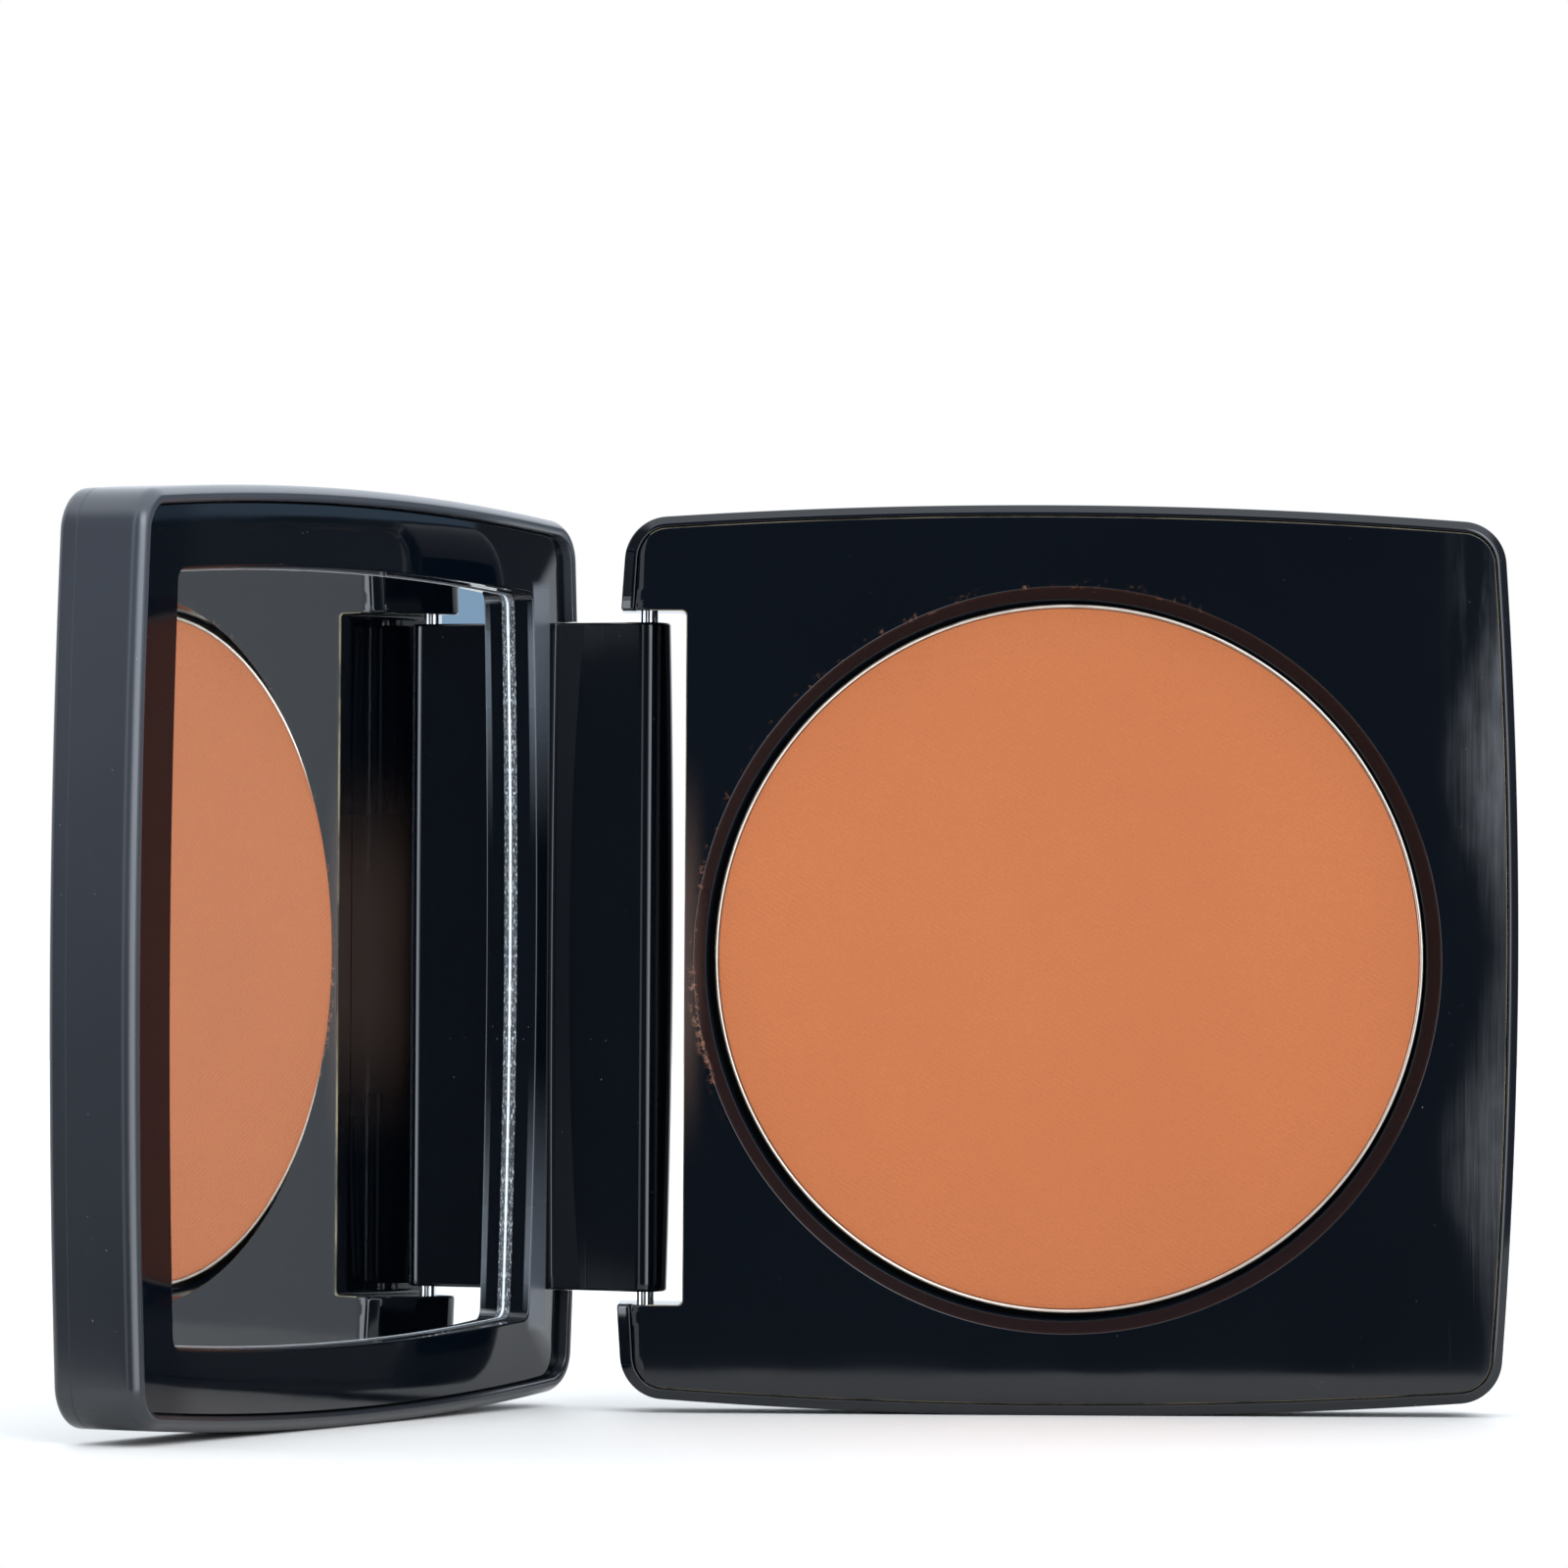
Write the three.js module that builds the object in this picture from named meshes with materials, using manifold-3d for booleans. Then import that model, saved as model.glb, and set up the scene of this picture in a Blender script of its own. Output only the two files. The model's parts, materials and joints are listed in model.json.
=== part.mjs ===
// A square powder compact with bowed sides, standing open on its edges like a book.
//
// Both halves are drawn closed and lying flat, with the hinge axis as the Y axis: X runs from the hinge to
// the free edge, Y along the hinge and Z up through the base into the lid. The lid then turns open about Y,
// and the whole compact is stood on its side, so that the hinge axis is vertical.

import * as THREE from 'three';
import * as BufferGeometryUtils from 'three/addons/utils/BufferGeometryUtils.js';
import Module from 'manifold-3d';

const wasm = await Module();
wasm.setup();

// ---- Driving dimensions, in mm and degrees ----

const SIDE = 75.6; // across the middles of two opposite bowed sides
const BOW = 1.5; // how far a side bulges between its corners
const CORNER_RADIUS = 3.7;
const HINGE_INSET = 3.2; // hinge axis, in from the bulge of the hinge side
const OPEN_ANGLE = 116.5; // from closed to the pose that the compact stands in

const UNDERSIDE = -1.8; // all heights are measured from the hinge axis
const BASE_RIM = 7.5;
const LID_RIM = 7.7;
const LID_SEAM = 13.7; // where the cover sits on the lid shell
const LID_EDGE = 15.5; // top of the cover's rounded edge
const CROWN = 0.5; // rise of the cover from its edge to its middle

const SEAT_GAP = 0.1; // between pieces that are fitted into each other
const OVERCUT = 2; // how far a cutting tool runs past the face that it cuts

const BASE_WALL = 1.5;
const BASE_FLOOR = 1.2;
const BASE_BAND = 0.87; // width of the rim that shows round the tray
const BASE_UNDER_EDGE = 1.5; // radius of the rounded lower edge
const RIM_CHAMFER_WIDTH = 0.65; // across the rim's face
const RIM_CHAMFER_DEPTH = 0.4; // down the wall
const TRAY_PLATE = 1.4;
const WELL_RADIUS = 29.8;
const WELL_MOUTH_RADIUS = 31;
const WELL_CHAMFER = 1.6; // height of the slope round the well's mouth
const WELL_WALL = 0.8;
const WELL_FLOOR = 1; // thickness under the pan
const WELL_SHIFT = 0.35; // the well's centre, from the middle towards the free edge

const PAN_RADIUS = 29.5;
const PAN_HEIGHT = 4.5;
const PAN_WALL = 0.35;
const PAN_FOOT_EDGE = 0.7;
const PAN_DEPTH_BELOW_RIM = 1.4;
const PAN_SHIFT = 0.15; // the pan's centre, from the well's centre towards the free edge
const PAN_Y = 0.12; // and along the hinge
const POWDER_CROWN = 0.12;
const ADHESIVE_THICKNESS = 0.2;
const PAN_ADHESIVE_RADIUS = 20;

const NOTCH_HALF_LENGTH = 28.8;
const NOTCH_EDGE = 3.1; // the notch's long edge, from the hinge axis
const NOTCH_WALL = 1.1;
const PIN_RADIUS = 0.75;
const PIN_LENGTH = 10;
const PIN_IN_EAR = 4.6;
const EAR_BORE_RADIUS = 0.8;
const EAR_SLOPE = 14; // how steeply the ears' tops slope down from the hinge axis, in degrees
const TONGUE_BORE_RADIUS = 0.82;
const BORE_EXTRA_DEPTH = 0.4;

const TONGUE_HALF_LENGTH = 28;
const TONGUE_BOTTOM = -1.56;
const TONGUE_OUTER_RADIUS = 2; // lower outer edge
const TONGUE_INNER_RADIUS = 1.6; // round the pin, on the inner side
const TONGUE_INNER_FACE = 1.9;
const TONGUE_LEAN = 0.45; // how much the inner face leans towards the axis at the tongue's ends
const TONGUE_ROOT_ROUND = 0.45; // where the inner face curves out into the frame

const LID_WALL = 1.3;
const LIP_CHAMFER_WIDTH = 0.6; // across the rim's face
const LIP_CHAMFER_DEPTH = 0.8; // down the wall
const LID_SEAM_EDGE = 0.06; // radii of the rounded edges
const COVER_EDGE = 0.8;
const LID_PANEL = 1.4; // thickness of the shell behind the mirror
const FRAME_FACE = 8.5; // height of the frame's face, a little inside the lid's rim
const FRAME_PLATE = 1.2;
const WINDOW_INSET = 7.2; // from the compact's outline
const WINDOW_STRETCH = 1.023; // the window is slightly longer along the hinge
const WINDOW_NARROWING = 0.9845; // and slightly narrower, on its hinge side
const FRAME_RISE = 0.6; // how far the frame's face rises to the window on the hinge side
const FRAME_RISE_POWER = 8; // how closely the rise keeps to the hinge side
const WINDOW_WALL = 1.2;
const MIRROR_FACE = 9.7;
const MIRROR_THICKNESS = 0.7;
const MIRROR_ADHESIVE_INSET = 6; // from the mirror's edge

const MAGNET_RADIUS = 1.8;
const MAGNET_THICKNESS = 1.6;
const MAGNET_INSET = 4.6; // from the free edge's bulge
const MAGNET_OFFSET = 24; // from the middle, along the hinge
const MAGNET_BOSS_RADIUS = 2.25;
const MAGNET_RECESS = 0.4; // how far a base magnet reaches into the tray's plate
const BOSS_MARGIN = 0.4; // how far its boss stands below it

const LABEL_LENGTH = 34;
const LABEL_WIDTH = 20;
const LABEL_THICKNESS = 0.2;
const LABEL_RECESS = 0.35;
const LABEL_CORNER = 2;
const LABEL_CENTRE_OFFSET = -14; // along the hinge, from the middle

const SIDE_STEPS = 13; // an odd number, so that the compact stands on a flat step
const CORNER_STEPS = 5;
const ROUND_STEPS = 96;
const BORE_STEPS = 20;
const EDGE_STEPS = 3;

const MIDDLE = SIDE / 2 - HINGE_INSET; // X of the compact's middle
const WELL_X = MIDDLE + WELL_SHIFT;
const PAN_X = WELL_X + PAN_SHIFT;
const MAGNET_X = SIDE - HINGE_INSET - MAGNET_INSET;

// ---- Solids ----

function toSolid(geometry) {
  const plain = geometry.clone();
  plain.deleteAttribute('normal');
  plain.deleteAttribute('uv');
  const merged = BufferGeometryUtils.mergeVertices(plain, 1e-5);
  return new wasm.Manifold(new wasm.Mesh({
    numProp: 3,
    vertProperties: new Float32Array(merged.attributes.position.array),
    triVerts: new Uint32Array(merged.index.array),
  }));
}

function toGeometry(solid) {
  const mesh = solid.getMesh();
  const geometry = new THREE.BufferGeometry();
  geometry.setAttribute('position', new THREE.BufferAttribute(mesh.vertProperties, 3));
  geometry.setIndex(new THREE.BufferAttribute(mesh.triVerts, 1));
  geometry.computeVertexNormals();
  return geometry;
}

// A closed solid through rings with the same number of points, in order, with flat ends.
function loft(rings) {
  const count = rings[0].length;
  const positions = rings.flat().flatMap((point) => [point.x, point.y, point.z]);
  const index = [];
  for (let ring = 0; ring + 1 < rings.length; ring += 1) {
    for (let i = 0; i < count; i += 1) {
      const a = ring * count + i;
      const b = ring * count + (i + 1) % count;
      index.push(a, b, b + count, a, b + count, a + count);
    }
  }
  const top = (rings.length - 1) * count;
  for (let i = 1; i + 1 < count; i += 1) {
    index.push(0, i + 1, i);
    index.push(top, top + i, top + i + 1);
  }
  const geometry = new THREE.BufferGeometry();
  geometry.setAttribute('position', new THREE.Float32BufferAttribute(positions, 3));
  geometry.setIndex(index);
  return toSolid(geometry);
}

function atHeight(points, height) {
  return points.map((point) => new THREE.Vector3(point.x, point.y, height));
}

function prism(points, low, high) {
  return loft([atHeight(points, low), atHeight(points, high)]);
}

function box(lowX, highX, halfY, low, high) {
  const geometry = new THREE.BoxGeometry(highX - lowX, 2 * halfY, high - low);
  geometry.translate((lowX + highX) / 2, 0, (low + high) / 2);
  return toSolid(geometry);
}

// A solid of revolution about a vertical axis, from [radius, height] pairs that start and end on the axis.
function turned(profile, x, y = 0) {
  const points = profile.map(([radius, height]) => new THREE.Vector2(radius, height));
  const geometry = new THREE.LatheGeometry(points, ROUND_STEPS);
  geometry.rotateX(Math.PI / 2);
  geometry.translate(x, y, 0);
  return toSolid(geometry);
}

function disc(radius, low, high, x, y = 0) {
  return turned([[0, low], [radius, low], [radius, high], [0, high]], x, y);
}

function smallDisc(radius, low, high, x, y) {
  const geometry = new THREE.CylinderGeometry(radius, radius, high - low, BORE_STEPS * 2);
  geometry.rotateX(Math.PI / 2);
  geometry.translate(x, y, (low + high) / 2);
  return toSolid(geometry);
}

// A cylinder on the hinge axis.
function axisCylinder(radius, lowY, highY) {
  const geometry = new THREE.CylinderGeometry(radius, radius, highY - lowY, BORE_STEPS);
  geometry.translate(0, (lowY + highY) / 2, 0);
  return toSolid(geometry);
}

// ---- The compact's outline ----

function arcPoints(centreX, centreY, radius, from, to, steps) {
  const points = [];
  for (let i = 0; i <= steps; i += 1) {
    const angle = from + (to - from) * i / steps;
    points.push(new THREE.Vector2(centreX + radius * Math.cos(angle), centreY + radius * Math.sin(angle)));
  }
  return points;
}

// Four bowed sides joined by round corners, moved inwards by inset. Past the corner radius, the corners
// become small rounds of cornerLeast.
function outline(inset, cornerLeast = 0.3) {
  const half = SIDE / 2;
  const bowRadius = (half * half + BOW * BOW) / (2 * BOW) - inset;
  const bowCentre = half - inset - bowRadius;
  const corner = Math.max(CORNER_RADIUS - inset, cornerLeast);
  const reach = bowRadius - corner;
  const cornerCentre = (bowCentre + Math.sqrt(2 * reach * reach - bowCentre * bowCentre)) / 2;
  const bend = Math.atan2(cornerCentre, cornerCentre - bowCentre);
  const points = [];
  for (let side = 0; side < 4; side += 1) {
    const turn = side * Math.PI / 2;
    const quarter = [
      ...arcPoints(bowCentre, 0, bowRadius, -bend, bend, SIDE_STEPS),
      ...arcPoints(cornerCentre, cornerCentre, corner, bend, Math.PI / 2 - bend, CORNER_STEPS).slice(1, -1),
    ];
    points.push(...quarter.map((point) => point.rotateAround(new THREE.Vector2(), turn)));
  }
  return points.map((point) => new THREE.Vector2(point.x + MIDDLE, point.y));
}

// X of the hinge side's outer face at a place along the hinge.
function hingeSideX(y) {
  const half = SIDE / 2;
  const bowRadius = (half * half + BOW * BOW) / (2 * BOW);
  return bowRadius - Math.sqrt(bowRadius * bowRadius - y * y) - HINGE_INSET;
}

// Rings of an edge rounded outwards, from a face at height start towards direction.
function roundedEdge(radius, start, direction) {
  const rings = [];
  for (let i = 0; i <= EDGE_STEPS; i += 1) {
    const angle = i / EDGE_STEPS * Math.PI / 2;
    const inset = radius * (1 - Math.sin(angle));
    rings.push(atHeight(outline(inset), start + direction * radius * (1 - Math.cos(angle))));
  }
  return rings;
}

// ---- The base ----

// What the ears lose, so that the lid's rim can swing past them.
function earRelief() {
  const reach = HINGE_INSET + OVERCUT;
  const drop = reach * Math.tan(THREE.MathUtils.degToRad(EAR_SLOPE));
  const wedge = [[0, BASE_RIM], [0, BASE_RIM + OVERCUT], [-reach, BASE_RIM + OVERCUT], [-reach, BASE_RIM - drop]];
  return loft([SIDE, -SIDE].map((y) => wedge.map(([x, z]) => new THREE.Vector3(x, y, z))));
}

function hingeNotch() {
  return box(-SIDE, NOTCH_EDGE, NOTCH_HALF_LENGTH, UNDERSIDE - OVERCUT, BASE_RIM + OVERCUT);
}

function earBores() {
  const end = NOTCH_HALF_LENGTH + PIN_IN_EAR + BORE_EXTRA_DEPTH;
  return axisCylinder(EAR_BORE_RADIUS, -end, end);
}

function labelOutline(margin) {
  const halfX = LABEL_WIDTH / 2 + margin - LABEL_CORNER;
  const halfY = LABEL_LENGTH / 2 + margin - LABEL_CORNER;
  const corners = [[halfX, halfY], [-halfX, halfY], [-halfX, -halfY], [halfX, -halfY]];
  return corners.flatMap(([x, y], i) => arcPoints(
    MIDDLE + x, LABEL_CENTRE_OFFSET + y, LABEL_CORNER, i * Math.PI / 2, (i + 1) * Math.PI / 2, CORNER_STEPS,
  ));
}

function makeBaseShell() {
  const rings = [
    ...roundedEdge(BASE_UNDER_EDGE, UNDERSIDE, 1),
    atHeight(outline(0), BASE_RIM - RIM_CHAMFER_DEPTH),
    atHeight(outline(RIM_CHAMFER_WIDTH), BASE_RIM),
  ];
  const plateSeat = BASE_RIM - TRAY_PLATE - SEAT_GAP;
  const inside = prism(outline(BASE_WALL), UNDERSIDE + BASE_FLOOR, BASE_RIM)
    .subtract(box(-SIDE, NOTCH_EDGE + NOTCH_WALL, SIDE, UNDERSIDE, BASE_RIM + OVERCUT));
  return loft(rings)
    .subtract(inside)
    .subtract(prism(outline(BASE_BAND), plateSeat, BASE_RIM + OVERCUT))
    .subtract(hingeNotch())
    .subtract(earRelief())
    .subtract(earBores())
    .subtract(prism(labelOutline(SEAT_GAP), UNDERSIDE - OVERCUT, UNDERSIDE + LABEL_RECESS));
}

function makeBaseTray() {
  const plateUnder = BASE_RIM - TRAY_PLATE;
  const panSeat = BASE_RIM - PAN_DEPTH_BELOW_RIM - PAN_HEIGHT - ADHESIVE_THICKNESS - SEAT_GAP;
  const slopeFoot = BASE_RIM - WELL_CHAMFER;
  const slope = (WELL_MOUTH_RADIUS - WELL_RADIUS) / WELL_CHAMFER;
  const well = turned([
    [0, panSeat],
    [WELL_RADIUS, panSeat],
    [WELL_RADIUS, slopeFoot],
    [WELL_MOUTH_RADIUS + slope * OVERCUT, BASE_RIM + OVERCUT],
    [0, BASE_RIM + OVERCUT],
  ], WELL_X);
  const magnetTop = plateUnder + MAGNET_RECESS;
  const bossFoot = magnetTop - MAGNET_THICKNESS - BOSS_MARGIN;
  let tray = prism(outline(BASE_BAND + SEAT_GAP), plateUnder, BASE_RIM)
    .add(disc(WELL_RADIUS + WELL_WALL, panSeat - WELL_FLOOR, plateUnder + SEAT_GAP, WELL_X));
  for (const y of [-MAGNET_OFFSET, MAGNET_OFFSET]) {
    tray = tray
      .add(smallDisc(MAGNET_BOSS_RADIUS, bossFoot, plateUnder + SEAT_GAP, MAGNET_X, y))
      .subtract(smallDisc(MAGNET_RADIUS + SEAT_GAP, bossFoot - OVERCUT, magnetTop + SEAT_GAP, MAGNET_X, y));
  }
  return tray.subtract(well).subtract(hingeNotch()).subtract(earRelief());
}

function makePan() {
  const rim = BASE_RIM - PAN_DEPTH_BELOW_RIM;
  const foot = rim - PAN_HEIGHT;
  return turned([
    [0, foot],
    [PAN_RADIUS - PAN_FOOT_EDGE, foot],
    [PAN_RADIUS, foot + PAN_FOOT_EDGE],
    [PAN_RADIUS, rim],
    [PAN_RADIUS - PAN_WALL, rim],
    [PAN_RADIUS - PAN_WALL, foot + PAN_FOOT_EDGE],
    [PAN_RADIUS - PAN_FOOT_EDGE, foot + PAN_WALL],
    [0, foot + PAN_WALL],
  ], PAN_X, PAN_Y);
}

function makePowder() {
  const rim = BASE_RIM - PAN_DEPTH_BELOW_RIM;
  const foot = rim - PAN_HEIGHT + PAN_WALL + SEAT_GAP;
  const radius = PAN_RADIUS - PAN_WALL - SEAT_GAP;
  const profile = [[0, foot], [radius - PAN_FOOT_EDGE, foot], [radius, foot + PAN_FOOT_EDGE]];
  const rings = 6;
  for (let i = 0; i <= rings; i += 1) {
    const share = 1 - i / rings;
    profile.push([radius * share, rim - SEAT_GAP + POWDER_CROWN * (1 - share ** 4)]);
  }
  return turned(profile, PAN_X, PAN_Y);
}

function makePanAdhesive() {
  const top = BASE_RIM - PAN_DEPTH_BELOW_RIM - PAN_HEIGHT - SEAT_GAP / 2;
  return disc(PAN_ADHESIVE_RADIUS, top - ADHESIVE_THICKNESS, top, PAN_X, PAN_Y);
}

function makeBaseMagnet(side) {
  const top = BASE_RIM - TRAY_PLATE + MAGNET_RECESS;
  return smallDisc(MAGNET_RADIUS, top - MAGNET_THICKNESS, top, MAGNET_X, side * MAGNET_OFFSET);
}

function makePin(side) {
  const outer = NOTCH_HALF_LENGTH + PIN_IN_EAR;
  const ends = [side * outer, side * (outer - PIN_LENGTH)];
  return axisCylinder(PIN_RADIUS, Math.min(...ends), Math.max(...ends));
}

function makeLabel() {
  const top = UNDERSIDE + LABEL_RECESS - SEAT_GAP / 2;
  return prism(labelOutline(0), top - LABEL_THICKNESS, top);
}

// ---- The lid, drawn closed over the base ----

const WINDOW_FREE_SIDE = MIDDLE + SIDE / 2 - WINDOW_INSET;
const WINDOW_HINGE_SIDE = WINDOW_FREE_SIDE - WINDOW_NARROWING * (SIDE - 2 * WINDOW_INSET);

function windowOutline(inset) {
  return outline(WINDOW_INSET + inset, 1).map((point) => new THREE.Vector2(
    WINDOW_FREE_SIDE + (point.x - WINDOW_FREE_SIDE) * WINDOW_NARROWING, point.y * WINDOW_STRETCH,
  ));
}

// The window's edge in the frame's face, which rises towards the hinge side.
function windowMouth() {
  return windowOutline(0).map((point) => {
    const share = (WINDOW_FREE_SIDE - point.x) / (WINDOW_FREE_SIDE - WINDOW_HINGE_SIDE);
    const rise = FRAME_RISE * Math.max(share, 0) ** FRAME_RISE_POWER;
    return new THREE.Vector3(point.x, point.y, FRAME_FACE - rise);
  });
}

// Height of the frame's sloping face, between the hinge side's edge and the window.
function frameHeight(x) {
  const edge = LID_WALL + SEAT_GAP - HINGE_INSET;
  return FRAME_FACE - FRAME_RISE * (x - edge) / (WINDOW_HINGE_SIDE - edge);
}

// The tongue's cross-section at a place along the hinge, in the XZ plane.
function tongueSection(y) {
  const outer = hingeSideX(y);
  const bow = (y / TONGUE_HALF_LENGTH) ** 2;
  const shell = FRAME_FACE + FRAME_PLATE - SEAT_GAP;
  const outerRound = arcPoints(
    outer + TONGUE_OUTER_RADIUS, TONGUE_BOTTOM + TONGUE_OUTER_RADIUS, TONGUE_OUTER_RADIUS,
    Math.PI, Math.PI * 1.5, CORNER_STEPS,
  );
  const innerRound = arcPoints(
    TONGUE_INNER_FACE - TONGUE_INNER_RADIUS, TONGUE_BOTTOM + TONGUE_INNER_RADIUS, TONGUE_INNER_RADIUS,
    -Math.PI / 2, 0, CORNER_STEPS,
  );
  const foot = TONGUE_INNER_FACE - TONGUE_LEAN * bow;
  const bend = new THREE.Vector2(foot, frameHeight(foot));
  const start = bend.clone().lerp(new THREE.Vector2(TONGUE_INNER_FACE, 0), TONGUE_ROOT_ROUND / bend.y);
  const root = new THREE.Vector2(foot + TONGUE_ROOT_ROUND, frameHeight(foot + TONGUE_ROOT_ROUND));
  const fillet = new THREE.QuadraticBezierCurve(start, bend, root).getPoints(CORNER_STEPS);
  const top = [new THREE.Vector2(root.x, shell), new THREE.Vector2(outer, shell)];
  return [...outerRound, ...innerRound, ...fillet, ...top]
    .map((point) => new THREE.Vector3(point.x, y, point.y));
}

function tongue() {
  const stations = 14;
  const rings = [];
  for (let i = 0; i <= stations; i += 1) {
    rings.push(tongueSection(TONGUE_HALF_LENGTH * (1 - 2 * i / stations)));
  }
  const boreStart = TONGUE_HALF_LENGTH - (PIN_LENGTH - PIN_IN_EAR) - BORE_EXTRA_DEPTH;
  const boreEnd = TONGUE_HALF_LENGTH + OVERCUT;
  return loft(rings)
    .subtract(axisCylinder(TONGUE_BORE_RADIUS, boreStart, boreEnd))
    .subtract(axisCylinder(TONGUE_BORE_RADIUS, -boreEnd, -boreStart));
}

function makeMirrorFrame() {
  const back = FRAME_FACE + FRAME_PLATE;
  const skirtEnd = MIRROR_FACE + MIRROR_THICKNESS;
  const edge = outline(LID_WALL + SEAT_GAP);
  const plate = loft([
    windowMouth(), atHeight(edge, FRAME_FACE), atHeight(edge, back),
  ]);
  return plate
    .add(prism(windowOutline(-WINDOW_WALL), FRAME_FACE, skirtEnd))
    .add(tongue())
    .subtract(prism(windowOutline(0), FRAME_FACE - OVERCUT, skirtEnd + OVERCUT));
}

function makeLidShell() {
  const rings = [
    atHeight(outline(LIP_CHAMFER_WIDTH), LID_RIM),
    atHeight(outline(0), LID_RIM + LIP_CHAMFER_DEPTH),
    ...roundedEdge(LID_SEAM_EDGE, LID_SEAM, -1).reverse(),
  ];
  const tongueGap = box(-SIDE, 0, TONGUE_HALF_LENGTH + SEAT_GAP, LID_RIM - OVERCUT, FRAME_FACE + FRAME_PLATE);
  return loft(rings)
    .subtract(prism(outline(LID_WALL), LID_RIM - OVERCUT, LID_SEAM - LID_PANEL))
    .subtract(tongueGap);
}

function makeLidCover() {
  const foot = LID_SEAM + SEAT_GAP;
  const rings = [
    ...roundedEdge(LID_SEAM_EDGE, foot, 1),
    ...roundedEdge(COVER_EDGE, LID_EDGE, -1).reverse(),
  ];
  const rim = outline(COVER_EDGE);
  const crownSteps = 6;
  for (let i = 1; i < crownSteps; i += 1) {
    const share = 1 - i / crownSteps;
    const points = rim.map((point) => new THREE.Vector2(MIDDLE + (point.x - MIDDLE) * share, point.y * share));
    rings.push(atHeight(points, LID_EDGE + CROWN * (1 - share * share)));
  }
  return loft(rings);
}

function makeMirror() {
  return prism(windowOutline(SEAT_GAP), MIRROR_FACE, MIRROR_FACE + MIRROR_THICKNESS);
}

function makeMirrorAdhesive() {
  const low = MIRROR_FACE + MIRROR_THICKNESS + SEAT_GAP;
  return prism(windowOutline(MIRROR_ADHESIVE_INSET), low, LID_SEAM - LID_PANEL - SEAT_GAP);
}

function makeLidMagnet(side) {
  const low = FRAME_FACE + FRAME_PLATE + SEAT_GAP;
  return smallDisc(MAGNET_RADIUS, low, low + MAGNET_THICKNESS, MAGNET_X, side * MAGNET_OFFSET);
}

// ---- The assembly ----

const MATERIALS = {
  glossBlack: { color: 0x0a0c10, roughness: 0.08, metalness: 0 },
  satinBlack: { color: 0x101318, roughness: 0.3, metalness: 0 },
  aluminium: { color: 0xd8d6cf, roughness: 0.35, metalness: 1 },
  powder: { color: 0xcf8058, roughness: 1, metalness: 0 },
  steel: { color: 0xc9cacc, roughness: 0.18, metalness: 1 },
  nickel: { color: 0xb9b7b0, roughness: 0.25, metalness: 1 },
  mirror: { color: 0xe8ecee, roughness: 0.02, metalness: 1 },
  adhesive: { color: 0xe6e4dc, roughness: 0.8, metalness: 0 },
  label: { color: 0x24272c, roughness: 0.5, metalness: 0 },
};

function part(name, solid, material) {
  const mesh = new THREE.Mesh(toGeometry(solid), new THREE.MeshStandardMaterial(MATERIALS[material]));
  mesh.name = name;
  return mesh;
}

function makeBase() {
  const base = new THREE.Group();
  base.add(part('base_shell', makeBaseShell(), 'glossBlack'));
  base.add(part('base_tray', makeBaseTray(), 'glossBlack'));
  base.add(part('powder_pan', makePan(), 'aluminium'));
  base.add(part('pressed_powder', makePowder(), 'powder'));
  base.add(part('pan_adhesive', makePanAdhesive(), 'adhesive'));
  base.add(part('underside_label', makeLabel(), 'label'));
  for (const [place, side] of [['upper', 1], ['lower', -1]]) {
    base.add(part(`base_magnet_${place}`, makeBaseMagnet(side), 'nickel'));
    base.add(part(`hinge_pin_${place}`, makePin(side), 'steel'));
  }
  return base;
}

function makeLid() {
  const lid = new THREE.Group();
  lid.add(part('lid_shell', makeLidShell(), 'satinBlack'));
  lid.add(part('lid_cover', makeLidCover(), 'satinBlack'));
  lid.add(part('mirror_frame', makeMirrorFrame(), 'glossBlack'));
  lid.add(part('mirror_glass', makeMirror(), 'mirror'));
  lid.add(part('mirror_adhesive', makeMirrorAdhesive(), 'adhesive'));
  for (const [place, side] of [['upper', 1], ['lower', -1]]) {
    lid.add(part(`lid_magnet_${place}`, makeLidMagnet(side), 'nickel'));
  }
  lid.rotation.y = -THREE.MathUtils.degToRad(OPEN_ANGLE);
  return lid;
}

const compact = new THREE.Group();
compact.add(makeBase());
compact.add(makeLid());
compact.rotation.x = Math.PI / 2; // stands it on its side, with the base's underside towards +Y

// The origin is on the floor, under the middle of the compact's box.
compact.updateMatrixWorld(true);
const extent = new THREE.Box3().setFromObject(compact, true);
const middle = extent.getCenter(new THREE.Vector3());
compact.position.set(-middle.x, -middle.y, -extent.min.z);

const group = new THREE.Group();
group.add(compact);

export default group;
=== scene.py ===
"""A square powder compact with bowed sides, standing open on its edges like a book.

Sizes are in millimetres and angles in degrees. Both halves are drawn closed and lying flat, with the hinge
axis as the Y axis: X runs from the hinge to the free edge, Y along the hinge and Z up through the base into
the lid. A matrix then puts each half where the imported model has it.
"""

import json
from math import asin, atan2, cos, pi, radians, sin, sqrt, tan

import bmesh
import bpy
from mathutils import Matrix, Vector
from mathutils.geometry import tessellate_polygon


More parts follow.
